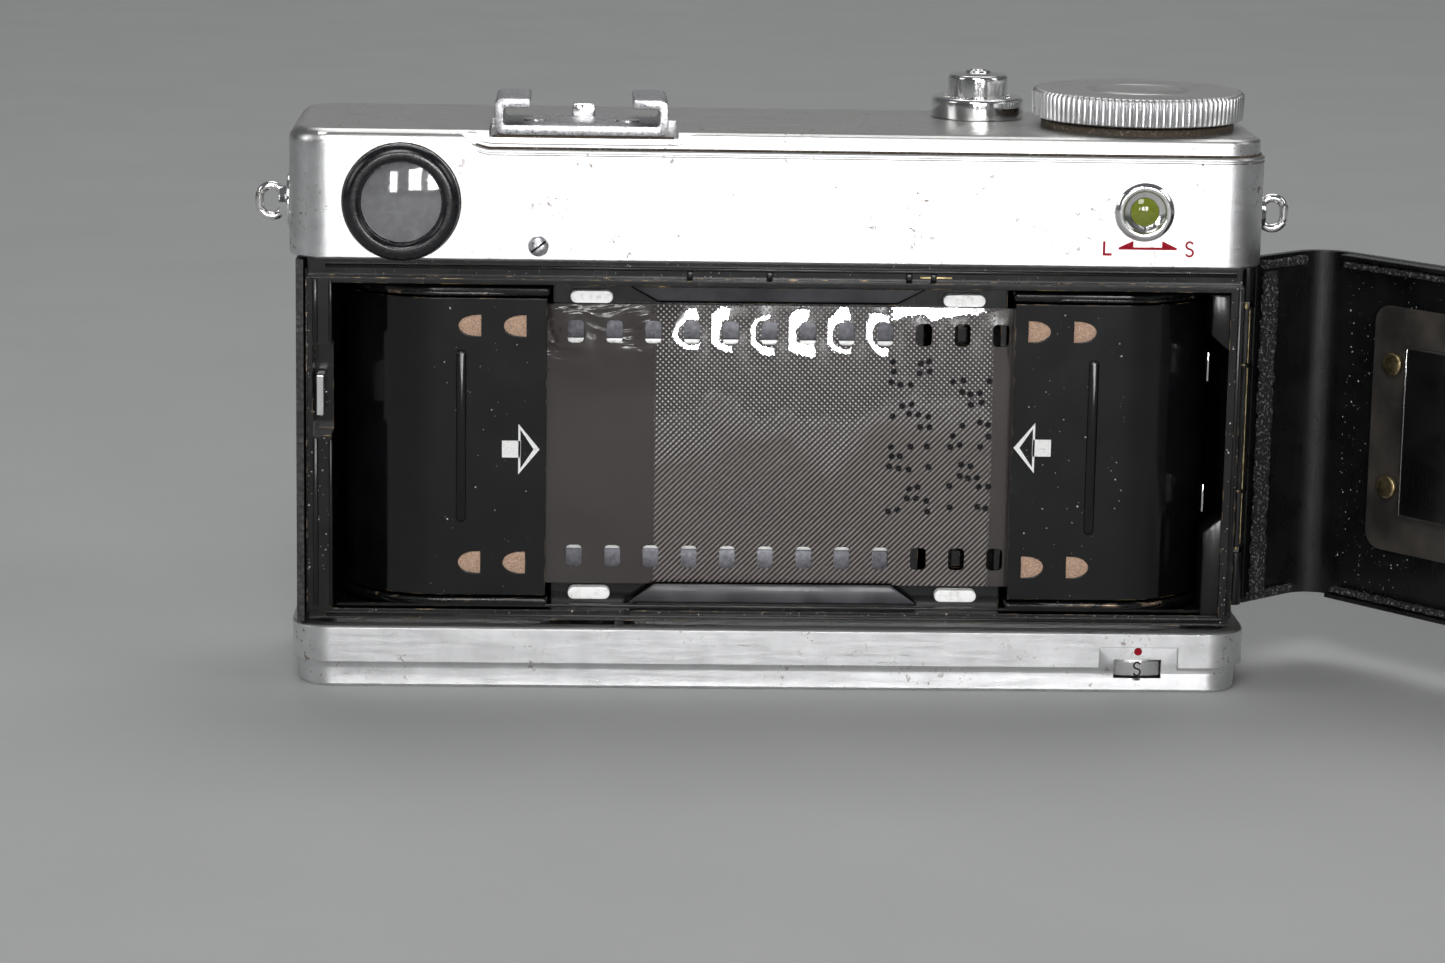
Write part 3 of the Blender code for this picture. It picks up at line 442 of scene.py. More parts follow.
def loft(name, rings, material, closed=False, sharp=35):
    """A solid through rings of equal point count, closed by flat ends, or joined end to end."""
    count = len(rings[0])
    points = [point for ring in rings for point in ring]
    faces = []
    levels = len(rings) if closed else len(rings) - 1
    for level in range(levels):
        low, high = level * count, (level + 1) % len(rings) * count
        for i in range(count):
            j = (i + 1) % count
            faces.append([low + i, low + j, high + j, high + i])
    if not closed:
        faces += [list(range(count)), list(range(len(points) - count, len(points)))]
    return add_mesh(name, points, faces, material, sharp)


def place(u, v, along, axis):
    return {"X": (along, u, v), "Y": (u, along, v), "Z": (u, v, along)}[axis]


def prism(name, outline, axis, start, end, material, edge=0.0):
    """An outline carried from start to end, with each end drawn in by a rounded edge."""
    stations = [(0, start), (0, end)]
    if edge:
        rise = edge * (1 - sqrt(0.5))
        stations = [(edge, start), (rise, start + rise), (0, start + edge)]
        stations += [(0, end - edge), (rise, end - rise), (edge, end)]
    rings = []
    for inset, along in stations:
        rings.append([place(u, v, along, axis) for u, v in drawn_in(outline, inset)])
    return loft(name, rings, material, sharp=50)


def drawn_in(outline, inset):
    """An outline moved inwards by an inset, along the bisector at each point."""
    if not inset:
        return outline
    count = len(outline)
    area = sum(
        outline[i - 1][0] * outline[i][1] - outline[i][0] * outline[i - 1][1] for i in range(count)
    )
    side = 1 if area > 0 else -1
    moved = []
    for i, point in enumerate(outline):
        here = Vector(point)
        before = (here - Vector(outline[i - 1])).normalized()
        after = (Vector(outline[(i + 1) % count]) - here).normalized()
        normal_a = Vector((-before.y, before.x)) * side
        normal_b = Vector((-after.y, after.x)) * side
        middle = (normal_a + normal_b) / max(0.5, 1 + normal_a.dot(normal_b))
        moved.append(tuple(here + middle * inset))
    return moved


def arc(centre, radius, start, end, steps):
    points = []
    for i in range(steps + 1):
        angle = radians(start + (end - start) * i / steps)
        points.append((centre[0] + radius * cos(angle), centre[1] + radius * sin(angle)))
    return points


def rounded(low, high, radius, steps=6):
    """A rounded rectangle."""
    points = arc((high[0] - radius, high[1] - radius), radius, 0, 90, steps)
    points += arc((low[0] + radius, high[1] - radius), radius, 90, 180, steps)
    points += arc((low[0] + radius, low[1] + radius), radius, 180, 270, steps)
    points += arc((high[0] - radius, low[1] + radius), radius, 270, 360, steps)
    return points


def circle(centre, radius, steps, depth=0.0, grooves=None):
    """Points round a centre, each drawn in by depth times what grooves gives for its number."""
    points = []
    for i in range(steps):
        angle = 2 * pi * i / steps
        r = radius - depth * grooves(i) if grooves else radius
        points.append((centre[0] + r * cos(angle), centre[1] + r * sin(angle)))
    return points


def turned(name, profile, centre, axis, material, steps=96, sharp=35, closed=None, grooves=None):
    """A solid turned about an axis from (radius, place along it) pairs, or a ring if it stays off it.

    With grooves, a third number in each row says how deep they cut there.
    """
    rings = []
    for radius, along, *depth in profile:
        ring = circle(centre, radius, steps, *depth, grooves=grooves)
        rings.append([place(u, v, along, axis) for u, v in ring])
    if closed is None:
        closed = profile[0][0] > ON_AXIS and profile[-1][0] > ON_AXIS
    return loft(name, rings, material, closed, sharp)


def bend(start, corner, end, steps):
    """Points on the curve that leaves start and reaches end, each heading for the corner."""
    points = []
    for i in range(steps + 1):
        t = i / steps
        points.append((1 - t) ** 2 * start + 2 * t * (1 - t) * corner + t ** 2 * end)
    return points


def soft_profile(points, radius, steps=3):
    """A profile whose inner corners are rounded."""
    result = [points[0]]
    for before, here, after in zip(points, points[1:], points[2:]):
        p, a, b = Vector(here), Vector(before), Vector(after)
        r = min(radius, (a - p).length * 0.45, (b - p).length * 0.45)
        start, end = p + (a - p).normalized() * r, p + (b - p).normalized() * r
        result += [tuple(point) for point in bend(start, p, end, steps)]
    return result + [points[-1]]


def soft_outline(points, radii, steps=5):
    """A closed outline whose corners are rounded, each by its own radius."""
    points = [Vector(point) for point in points]
    result = []
    for i, (here, radius) in enumerate(zip(points, radii)):
        before, after = points[i - 1], points[(i + 1) % len(points)]
        start = here + (before - here).normalized() * radius
        end = here + (after - here).normalized() * radius
        result += [tuple(point) for point in bend(start, here, end, steps)]
    return result


def smooth_route(route, steps=6):
    """A route with its corners cut to curves, which stay near a corner between long stretches."""
    points = [Vector(p) for p in route]
    long_stretch, reach = 3, 1.2
    result = [points[0]]
    for before, here, after in zip(points, points[1:], points[2:]):
        ends = []
        for other in (before, after):
            far = (other - here).length > long_stretch
            ends.append(here + (other - here).normalized() * reach if far else (other + here) / 2)
        result += bend(ends[0], here, ends[1], steps)
    return result + [points[-1]]


def tube(name, route, radius, material, closed=False, sides=10):
    """A round wire along a route of points."""
    points = [Vector(p) for p in route]
    rings = []
    count = len(points)
    for i, here in enumerate(points):
        before = points[i - 1] if closed or i else here
        after = points[(i + 1) % count] if closed or i < count - 1 else here
        along = (after - before).normalized()
        side = Vector((0, 0, 1)) if abs(along.z) < 0.9 else Vector((0, 1, 0))
        across = along.cross(side).normalized()
        other = along.cross(across)
        ring = []
        for k in range(sides):
            angle = 2 * pi * k / sides
            ring.append(here + radius * (cos(angle) * across + sin(angle) * other))
        rings.append(ring)
    return loft(name, rings, material, closed, 60)


def stroke(path, width):
    """The outline of a line of even width along an open path."""
    left, right = [], []
    for i, point in enumerate(path):
        here = Vector(point)
        before = Vector(path[max(i - 1, 0)])
        after = Vector(path[min(i + 1, len(path) - 1)])
        along = (after - before).normalized()
        across = Vector((-along.y, along.x)) * width / 2
        left.append(tuple(here + across))
        right.append(tuple(here - across))
    return left + right[::-1]


def door_place(obj):
    """Turns a piece drawn with the door closed to where the open door holds it."""
    pivot = Matrix.Translation(Vector((*HINGE, 0)) * MM)
    obj.data.transform(pivot @ Matrix.Rotation(DOOR_ANGLE, 4, "Z") @ pivot.inverted())
    return obj


def fit(obj, body, slot, *nodes):
    """obj rides on a body and stands for these CAD nodes, which it hides; slot is not used."""
    if nodes:
        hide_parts(*nodes)
    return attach(obj, body)


def applied(obj):
    """Turns an object's modifiers into its mesh."""
    bpy.context.view_layer.update()
    graph = bpy.context.evaluated_depsgraph_get()
    mesh = bpy.data.meshes.new_from_object(obj.evaluated_get(graph))
    obj.modifiers.clear()
    obj.data = mesh
    return obj


def bevelled(node, body, slot, material, width, segments=3, cutters=()):
    """A copy of a CAD node with holes cut and its edges rounded, shown in its place."""
    merge_distance, flat_angle, edge_angle, sharp_angle = 0.002, 0.6, 32, 38
    mesh = NODES[node].data.copy()
    shape = bmesh.new()
    shape.from_mesh(mesh)
    bmesh.ops.remove_doubles(shape, verts=shape.verts, dist=merge_distance * MM)
    limit = radians(flat_angle)
    bmesh.ops.dissolve_limit(shape, angle_limit=limit, verts=shape.verts, edges=shape.edges)
    shape.to_mesh(mesh)
    shape.free()
    obj = bpy.data.objects.new(node + "_finished", mesh)
    bpy.context.collection.objects.link(obj)
    mesh.materials.clear()
    mesh.materials.append(material)
    for tool in cutters:
        hole = obj.modifiers.new("hole", "BOOLEAN")
        hole.operation = "DIFFERENCE"
        hole.solver = "EXACT"
        hole.object = tool
    if cutters:
        applied(obj)
    for tool in cutters:
        bpy.data.objects.remove(tool)
    bevel = obj.modifiers.new("edge", "BEVEL")
    bevel.width = width * MM
    bevel.segments = segments
    bevel.limit_method = "ANGLE"
    bevel.angle_limit = radians(edge_angle)
    bevel.miter_outer = "MITER_ARC"
    applied(obj)
    obj.data.shade_smooth()
    obj.data.set_sharp_from_angle(angle=radians(sharp_angle))
    flatten = obj.modifiers.new("flat_faces", "WEIGHTED_NORMAL")
    flatten.keep_sharp = True
    applied(obj)
    return fit(obj, body, slot, node)


def specks(name, regions, body):
    """Dust: small flattened grains over (low corner, high corner, count) regions that face the rear."""
    points, faces = [], []
    for low, high, count in regions:
        for _ in range(count):
            centre = Vector([CHOICE.uniform(a, b) for a, b in zip(low, high)])
            size = SMALLEST_SPECK + (LARGEST_SPECK - SMALLEST_SPECK) * CHOICE.random() ** 3
            turn = CHOICE.uniform(0, pi)
            start = len(points)
            for k in range(5):
                angle = turn + 2 * pi * k / 5
                r = size * CHOICE.uniform(0.6, 1.3)
                points.append(centre + Vector((r * cos(angle), 0, r * sin(angle))))
            points.append(centre + Vector((0, -0.5 * size, 0)))
            points.append(centre + Vector((0, 0.3 * size, 0)))
            for k in range(5):
                faces.append([start + k, start + (k + 1) % 5, start + 5])
                faces.append([start + (k + 1) % 5, start + k, start + 6])
    obj = add_mesh(name, points, faces, DUST)
    if body == "door":
        door_place(obj)
    fit(obj, body, "foam")


# Covers


# The slanting edge between the tiers, and the deck's rim with its dip behind the shoe: (x, z, inset)
SLANT = [(-55.5, DECK - 0.72, 0.8), (-41.0, DECK - 0.72, 0.8), (-38.6, DECK - 1.2, 0.5)]
SLANT += [(-36.6, STEP + 0.4, 0.28), (-35.0, STEP, 0.28)]
RIM = DECK - 0.6
DIP = [(-37.6, RIM, 1.0), (-36.7, RIM, 1.0), (-35.4, 67.95, 0.95), (-33.5, 67.9, 0.95)]
DIP += [(-14.0, 67.9, 0.95), (-12.2, 67.95, 0.95), (-10.7, RIM, 1.0), (-8.0, RIM, 1.0)]


def edge_route(points, inward=0.0, lift=0.0, front=True):
    """An edge through (x, z, inset) points of the rear face, the right end and the front."""
    corner_radius, end = 5.0, 59.3
    line = smooth_route([(x, REAR + inset + inward, z + lift) for x, z, inset in points])
    height, inset = points[-1][1] + lift, points[-1][2] + inward
    corner = corner_radius - inset
    right = end - inset - corner
    for y, start in ((REAR + inset + corner, -90), (FRONT - inset - corner, 0)):
        line += [(x, v, height) for x, v in arc((right, y), corner, start, start + 90, 10)]
    if front:
        back = [(x, FRONT - depth - inward, z + lift) for x, z, depth in points[::-1]]
        return line + smooth_route(back)
    return line + [(points[0][0], FRONT - inset, height)]


def rolled_edges():
    """The rolled edges of the top cover's two tiers, with dirt in the groove above the tier bead, and
    thin lines of painted shade under the beads.
    """
    edges = [
        ("tier_bead", edge_route(SLANT), 0.33, SATIN, 16),
        ("tier_grime", edge_route(SLANT[3:], 0.2, 0.45), 0.14, GRIME_AND_SHADE, 8),
        # tier_shade and deck_shade are thin lines of painted shade under the beads.
        ("tier_shade", edge_route(SLANT, -0.24, -0.36), 0.07, GRIME_AND_SHADE, 8),
        ("deck_rim", edge_route(DIP, front=False), 0.42, SATIN, 16),
        ("deck_shade", edge_route(DIP, -0.36, -0.42, False), 0.07, GRIME_AND_SHADE, 8),
    ]
    for name, route, radius, material, sides in edges:
        fit(tube(name, route, radius, material, sides=sides), "camera", "satin_chrome")
    # Painted shade: a dark brown line in the gap under the shoe.
    gap = [(x, REAR + 0.75, DECK - 0.78) for x in (-34.7, -30.0, -24.0, -18.0, -12.8)]
    fit(tube("shoe_gap_painted_shade", gap, 0.2, GRIME_AND_SHADE, sides=8), "camera", "bright_chrome")


def covers():
    rolled_edges()
    bevelled("top_cover", "camera", "satin_chrome", SATIN, 0.28)
    bevelled("bottom_plate", "camera", "satin_chrome", SATIN, 0.22)
    accessory_shoe()


def accessory_shoe():
    """The shoe in its true section, with a stop at its front end and two rivets."""
    left, right = -34.4, -13.5
    base, floor, under, top = DECK - 0.55, DECK + 0.65, DECK + 2.7, DECK + 3.8
    wall, reach = 1.1, 4.3
    outline = [(left, base), (right, base), (right, top), (right - reach, top)]
    outline += [(right - reach, under), (right - wall, under), (right - wall, floor)]
    outline += [(left + wall, floor), (left + wall, under), (left + reach, under)]
    outline += [(left + reach, top), (left, top)]
    radii = (1.3, 1.3, 1.0, 0.35, 0.35, 0.5, 0.4, 0.4, 0.5, 0.35, 0.35, 1.0)
    shoe = prism("shoe_finished", soft_outline(outline, radii), "Y", -14.4, -2.4, WORN_CHROME, 0.1)
    fit(shoe, "camera", "bright_chrome", "accessory_shoe")
    stop = rounded((-25.1, floor - 0.1), (-22.3, floor + 1.5), 0.35, 4)
    fit(prism("shoe_stop", stop, "Y", -3.4, -2.4, CHROME, 0.15), "camera", "bright_chrome")
    head = soft_profile([(0.001, floor), (1.5, floor), (1.5, floor + 0.14), (0.001, floor + 0.16)], 0.1)
    for i, x in enumerate((-29.5, -18.4)):
        fit(turned(f"shoe_rivet_{i}", head, (x, -8.4), "Z", CHROME, 32), "camera", "bright_chrome")


def strap_lugs():
    y, z, face = -1.4, 58.5, 59.6
    for name, side in (("strap_lug_left", -1), ("strap_lug_right", 1)):
        profile = [(0.001, face), (3.5, face), (3.5, face + 0.45), (2.0, face + 0.55)]
        profile += [(1.75, face + 1.5), (0.001, face + 1.6)]
        profile = [(radius, side * along) for radius, along in soft_profile(profile, 0.15)]
        base = turned(name + "_foot", profile, (y, z), "X", CHROME, 64)
        fit(base, "camera", "bright_chrome", name)
        loop = rounded((face + 1.0, z - 1.9), (face + 3.95, z + 1.9), 1.45, 10)
        loop = [(side * x, y, h) for x, h in loop]
        fit(tube(name + "_loop", loop, 0.55, CHROME, True, 16), "camera", "bright_chrome", name)


def eyepiece():
    centre = (-45.5, 60.4)
    profile = [(4.95, REAR - 1.15), (5.35, REAR - 1.7), (6.3, REAR - 1.7), (7.05, REAR - 1.05)]
    profile += [(7.05, REAR - 0.15), (5.4, REAR - 0.15), (5.4, REAR + 1.6), (4.95, REAR + 1.6)]
    loop = soft_profile(profile + profile[:2], 0.4, 5)[1:-1]
    ring = turned("eyepiece_rim", loop[:-1], centre, "Y", PLASTIC, 128)
    fit(ring, "camera", "black_plastic", "eyepiece_ring")
    radius, middle, hollow, steps = 4.85, REAR - 1.05, 0.5, 8
    dome = [(0.001, middle)]
    for i in range(1, steps + 1):
        r = radius * i / steps
        dome.append((r, middle + hollow * (r / radius) ** 2))
    dome += [(radius, REAR + 0.6), (0.001, REAR + 0.6)]
    glass = turned("eyepiece_lens", dome, centre, "Y", CLEAR, 96)
    fit(glass, "camera", "clear_glass", "eyepiece_glass")
    dark_line = [(x, REAR - 0.02, z) for x, z in arc(centre, 7.12, 0, 355, 71)]
    fit(tube("eyepiece_grime", dark_line, 0.1, GRIME_AND_SHADE, True, 6), "camera", "satin_chrome")


def indicator():
    centre, y = (44.2, 60.3), REAR
    profile = [(1.75, y - 0.35), (2.5, y - 0.5), (2.62, y - 0.9)]
    profile += [(3.1, y - 0.92), (3.6, y - 0.55), (3.6, y - 0.05)]
    loop = soft_profile(profile, 0.12) + [(1.75, y - 0.05)]
    rim = turned("indicator_rim", loop, centre, "Y", CHROME)
    fit(rim, "camera", "bright_chrome", "indicator_ring")
    lens = [(0.001, y - 0.85), (0.7, y - 0.82), (1.3, y - 0.66)]
    lens += [(1.72, y - 0.4), (1.72, y + 1), (0.001, y + 1)]
    jewel = turned("indicator_jewel", lens, centre, "Y", GREEN, 64)
    fit(jewel, "camera", "green_glass", "indicator_lens")


def printed_marks():
    """The double arrow between two letters under the indicator, and the dot above the lock drum."""
    rear, front = REAR - 0.03, REAR + 0.05
    left, right, low, high = 41.2, 48.3, 55.55, 56.75
    arrow = [(left, low + 0.1), (left, low + 0.35), (43.0, high), (43.0, low + 0.4), (46.5, low + 0.4)]
    arrow += [(46.5, high), (right, low + 0.35), (right, low + 0.1)]
    long_mark = [(39.3, 54.9), (40.4, 54.9), (40.4, 55.2), (39.6, 55.2), (39.6, 56.65), (39.3, 56.65)]
    bow = arc((49.85, 56.25), 0.42, 20, 250, 8) + arc((49.85, 55.35), 0.44, 70, -160, 8)
    shapes = [("arrow_mark", arrow), ("long_mark", long_mark), ("short_mark", stroke(bow, 0.26))]
    for name, outline in shapes:
        fit(prism(name, outline, "Y", rear, front, RED_INK), "camera", "satin_chrome")
    proud, sunk = REAR + 0.65 - 0.1, REAR + 0.65 + 0.2
    dot = soft_profile([(0.001, proud), (0.5, proud), (0.5, sunk), (0.001, sunk)], 0.08)
    fit(turned("red_dot", dot, (DRUM_CENTRE[0], 5.35), "Y", RED_INK, 32), "camera", "satin_chrome")


def screw():
    x, z = -29.0, 55.2
    head = [(0.001, REAR - 0.62), (0.6, REAR - 0.58), (1.1, REAR - 0.36), (1.25, REAR - 0.1)]
    head += [(1.25, REAR + 0.2), (0.001, REAR + 0.2)]
    dome = turned("screw_head", soft_profile(head, 0.1), (x, z), "Y", WORN_CHROME, 64)
    fit(dome, "camera", "bright_chrome", "rear_screw")
    lean = radians(38)
    line = [(x + t * cos(lean), z + t * sin(lean)) for t in (-1.1, -0.4, 0.4, 1.1)]
    # Painted shade: the slot is a dark strip laid on the head, not a cut.
    slot = prism("screw_slot_painted_shade", stroke(line, 0.26), "Y", REAR - 0.64, REAR - 0.2, DARK_INK)
    fit(slot, "camera", "bright_chrome")


def shutter_release():
    centre = (25.7, 7.2)
    ring = [(4.0, DECK + 0.05), (5.75, DECK + 0.05), (5.75, DECK + 2.3)]
    ring += [(5.45, DECK + 2.6), (4.0, DECK + 2.6)]
    collar = turned("release_collar", soft_profile(ring, 0.1), centre, "Z", CHROME)
    fit(collar, "camera", "bright_chrome", "shutter_collar")
    stem = [(0.001, DECK - 5), (3.6, DECK - 5), (3.75, DECK + 5.05), (3.55, DECK + 5.35)]
    stem += [(1.6, DECK + 5.55), (1.5, DECK + 5.88), (1.0, DECK + 5.88), (0.9, DECK + 5.2)]
    stem.append((0.001, DECK + 4.9))
    button = turned("release_button", soft_profile(stem, 0.12), centre, "Z", CHROME)
    fit(button, "button", "bright_chrome", "shutter_button")
    half, low, high = 0.14, DECK + 2.58, DECK + 2.78
    points, faces = [], []
    for x, y in circle(centre, 4.05, 48):
        start = len(points)
        points += [(x - half, y - half, low), (x + half, y - half, low)]
        points += [(x + half, y + half, low), (x - half, y + half, low), (x, y, high)]
        faces += [[start + i, start + (i + 1) % 4, start + 4] for i in range(4)]
        faces.append([start + 3, start + 2, start + 1, start])
    fit(add_mesh("collar_knurl", points, faces, CHROME), "camera", "bright_chrome")


def advance_wheel():
    """The fluted wheel, turned from (inset, height, depth of flute) rows, on its shaft, over a dark
    ring of painted shade and dirt in the gap under it.
    """
    centre, radius = (44.9, -0.5), 13.1
    flutes, steps, depth = 97, 6, 0.45
    rows = [(0.9, 70.15, 0), (0.35, 70.2, 0.5), (0.08, 70.35, 1), (0, 73.1, 1), (0.12, 73.4, 0.9)]
    rows += [(0.4, 73.6, 0.4), (0.7, 73.66, 0), (6.2, 73.6, 0), (6.75, 73.58, 0), (7, 73.42, 0)]
    rows += [(7.2, 73.42, 0), (7.35, 73.55, 0), (10.5, 73.62, 0), (13.08, 73.66, 0)]
    profile = [(radius - inset, height, depth * cut) for inset, height, cut in rows]
    wheel = turned(
        "wheel_finished", profile, centre, "Z", SATIN, flutes * steps, 50, False,
        lambda i: (0.5 + 0.5 * cos(2 * pi * i / steps)) ** 4,
    )
    fit(wheel, "wheel", "satin_chrome", "advance_wheel", "wheel_cap")
    ends = [(0.001, 62.4), (2.8, 62.4), (2.8, 70.2), (0.001, 70.2)]
    fit(turned("wheel_shaft", ends, centre, "Z", SATIN, 48), "wheel", "satin_chrome")
    # Painted shade and dirt: a dark brown ring filling the gap under the wheel.
    skirt = [(2.9, DECK - 0.1), (11.9, DECK - 0.1), (11.9, DECK + 0.75), (2.9, DECK + 0.75)]
    gap_shade_and_dirt = turned("wheel_gap_shade_and_dirt", soft_profile(skirt, 0.2), centre, "Z", GRIME_AND_SHADE)
    fit(gap_shade_and_dirt, "camera", "satin_chrome")


def lock_drum():
    """The drum that locks the back, turned from (inset, height) rows."""
    rows = [(5.4, 0.5), (4.9, 1), (4.2, 1.9), (0.3, 1.9), (0, 2.15), (0, 3.9), (0.3, 4.15), (8.2, 4.15)]
    profile = [(DRUM_RADIUS - inset, height) for inset, height in rows]
    drum = turned("drum_finished", profile, DRUM_CENTRE, "Z", CHROME, 160, closed=False)
    fit(drum, "drum", "bright_chrome", "lock_drum")
    x, y = DRUM_CENTRE
    bow = arc((x, 3.45), 0.4, 20, 260, 8) + arc((x, 2.6), 0.42, 80, -160, 8)
    face = y - DRUM_RADIUS
    mark = prism("drum_mark", stroke(bow, 0.2), "Y", face - 0.04, face + 0.1, DARK_INK)
    fit(mark, "drum", "bright_chrome")
    grip = rounded((x - 3.9, y - 0.6), (x + 3.9, y + 0.6), 0.55)
    fit(prism("drum_grip", grip, "Z", 0.15, 0.9, CHROME, 0.2), "drum", "bright_chrome")


# Film and cassettes


def perforation_lines(centres, half, corner, pitch_lines):
    """Grid lines that pass along the edges and corners of a row of holes."""
    lines = set()
    for centre in centres:
        for offset in (-half, -half + corner, 0, half - corner, half):
            lines.add(round(centre + offset, 4))
    low, high, step = pitch_lines
    value = low
    while value < high + 1e-6:
        if all(abs(value - other) > 0.28 for other in lines):
            lines.add(round(value, 4))
        value += step
    return sorted(lines)


def film_depth(x, z):
    """How far the film stands proud of flat towards the rear."""
    left = max(0.0, (-13.0 - x) / 14.5)
    top = max(0.0, (z - AXIS_Z - 6.0) / 11.5)
    curl = 0.35 * left * top * sin(0.62 * x + 0.25 * z)
    bow = 0.08 * cos(x / 9.0) * cos((z - AXIS_Z) / 8.0)
    ripple = 0.0
    if z > AXIS_Z + 8:
        phase = (x - FIRST_PERFORATION_X) / PERFORATION_PITCH
        beside = exp(-(((z - AXIS_Z - PERFORATION_ROW) / 2.6) ** 2))
        ripple = 0.1 * cos(2 * pi * (phase + 0.12)) * beside
    return max(0.0, curl) + bow + 0.1 + ripple


def film():
    half_length, half_width, corner = 30.5, 17.5, 0.5
    hole_x, hole_z = 0.99, 1.395
    centres = [FIRST_PERFORATION_X + i * PERFORATION_PITCH for i in range(12)]
    rows = [AXIS_Z - PERFORATION_ROW, AXIS_Z + PERFORATION_ROW]
    xs = perforation_lines(centres, hole_x, corner, (AXIS_X - half_length, AXIS_X + half_length, 0.61))
    zs = perforation_lines(rows, hole_z, corner, (AXIS_Z - half_width, AXIS_Z + half_width, 0.7))
    shape = bmesh.new()
    grid = {}
    for i, x in enumerate(xs):
        for k, z in enumerate(zs):
            px, pz = x, z
            for cx in centres:
                for cz in rows:
                    if abs(abs(x - cx) - hole_x) < 1e-3 and abs(abs(z - cz) - hole_z) < 1e-3:
                        px -= copysign(corner * 0.29, x - cx)
                        pz -= copysign(corner * 0.29, z - cz)
            grid[i, k] = shape.verts.new(Vector((px, FILM_Y - film_depth(px, pz), pz)) * MM)
    for i in range(len(xs) - 1):
        for k in range(len(zs) - 1):
            x, z = (xs[i] + xs[i + 1]) / 2, (zs[k] + zs[k + 1]) / 2
            if any(abs(x - cx) < hole_x for cx in centres) and any(abs(z - cz) < hole_z for cz in rows):
                continue
            shape.faces.new((grid[i, k], grid[i + 1, k], grid[i + 1, k + 1], grid[i, k + 1]))
    loose = [v for v in shape.verts if not v.link_faces]
    bmesh.ops.delete(shape, geom=loose, context="VERTS")
    mesh = bpy.data.meshes.new("film_finished")
    shape.to_mesh(mesh)
    shape.free()
    mesh.materials.append(FILM)
    obj = bpy.data.objects.new("film_finished", mesh)
    bpy.context.collection.objects.link(obj)
    skin = obj.modifiers.new("thickness", "SOLIDIFY")
    skin.thickness = 0.14 * MM
    skin.offset = 0
    applied(obj)
    obj.data.shade_smooth()
    obj.data.set_sharp_from_angle(angle=radians(40))
    fit(obj, "film_load", "film_base", "film_strip")


def punched_dots():
    """Small round dots in loose rows near the film's right end, with no letters or numbers in them."""
    points, faces = [], []
    steps = 10
    for column, (left, top, bottom) in enumerate(((14.6, 40.6, 20.0), (22.1, 38.2, 21.2))):
        height = top
        row = 0
        while height > bottom:
            for k in range(5):
                if (row * 3 + k * 2 + column) % 5 in (1, 3) or (row + k) % 4 == 0:
                    x = left + 1.15 * k + 0.15 * sin(row * 2.1 + k)
                    z = height + 0.2 * sin(k * 1.7 + row)
                    y = FILM_Y - film_depth(x, z) - 0.1
                    start = len(points)
                    for ring_radius, lift in ((0.4, 0.0), (0.36, -0.03)):
                        points += [(u, y + lift, v) for u, v in circle((x, z), ring_radius, steps)]
                    faces.append(list(range(start, start + steps)))
                    faces.append(list(range(start + steps, start + 2 * steps)))
                    for s in range(steps):
                        n = (s + 1) % steps
                        faces.append([start + s, start + n, start + steps + n, start + steps + s])
            height -= 1.35 if row % 3 != 2 else 2.6
            row += 1
    fit(add_mesh("film_dots", points, faces, DARK_INK), "film_load", "film_base")


def window_outline(flat_x, bulge, low, high):
    """A D shape: a flat side, and a rounded side that bulges by a signed amount."""
    middle, half = (low + high) / 2, (high - low) / 2
    points = []
    for i in range(13):
        angle = pi * (i / 12 - 0.5)
        points.append((flat_x + bulge * cos(angle) ** 0.8, middle + half * sin(angle)))
    return points


def cassette(name, side, flats, rib_x, rib_low, rib_high, arrow_x):
    """A cassette shell with four velvet windows, a pressed rib, rolled caps and a printed arrow."""
    back = corners(name)[0].y
    cutters, velvets = [], []
    for i, flat in enumerate(flats):
        for k, (low, high) in enumerate(((43.7, 46.35), (14.15, 16.9))):
            hole = window_outline(flat, side * 2.75, low, high)
            cutters.append(prism("cutter", hole, "Y", back - 1, back + 1.5, ENAMEL))
            patch = window_outline(flat - side * 0.2, side * 3.1, low - 0.2, high + 0.2)
            label = f"{name}_velvet_{i}{k}"
            velvets.append(prism(label, patch, "Y", back + 0.12, back + 0.75, VELVET, 0.1))
    bevelled(name, "film_load", "cassette_paint", ENAMEL, 0.16, cutters=cutters)
    for patch in velvets:
        fit(patch, "film_load", "cassette_paint")
    rib = rounded((rib_x - 0.62, rib_low), (rib_x + 0.62, rib_high), 0.6)
    rib = prism(f"{name}_rib", rib, "Y", back - 0.33, back + 0.2, ENAMEL, 0.3)
    fit(rib, "film_load", "cassette_paint")
    for end in ("top", "bottom"):
        cap = f"{name}_cap_{end}"
        bevelled(cap, "film_load", "cassette_paint", ENAMEL, 0.42, 4)
        low, high = corners(cap)
        z = low.z + 0.3 if end == "top" else high.z - 0.3
        inner = low.x + 1.2 if side > 0 else high.x - 1.2
        bends = ((0.0, 1.6), (0.0, 0.45), (13.0, 0.05), (17.5, 1.1), (21.2, 3.9))
        route = smooth_route([(inner + side * out, low.y + depth, z) for out, depth in bends])
        fit(tube(f"{cap}_bead", route, 0.3, RUBBED), "film_load", "cassette_paint")
    z = 30.15 + side * 0.4
    start, end = back - 0.05, back + 0.05
    base_x, stem_x, stem_end_x = [arrow_x + side * reach for reach in (2.6, 2.3, 4.6)]
    head = [(arrow_x, z), (base_x, z + 3.15), (base_x, z - 3.15)]
    fit(hollow_triangle(f"{name}_arrow", head, 0.56, start, end), "film_load", "cassette_paint")
    stem = [(stem_x, z - 1.05), (stem_end_x, z - 1.05), (stem_end_x, z + 1.05), (stem_x, z + 1.05)]
    fit(prism(f"{name}_arrow_stem", stem, "Y", start, end, WHITE_INK), "film_load", "cassette_paint")


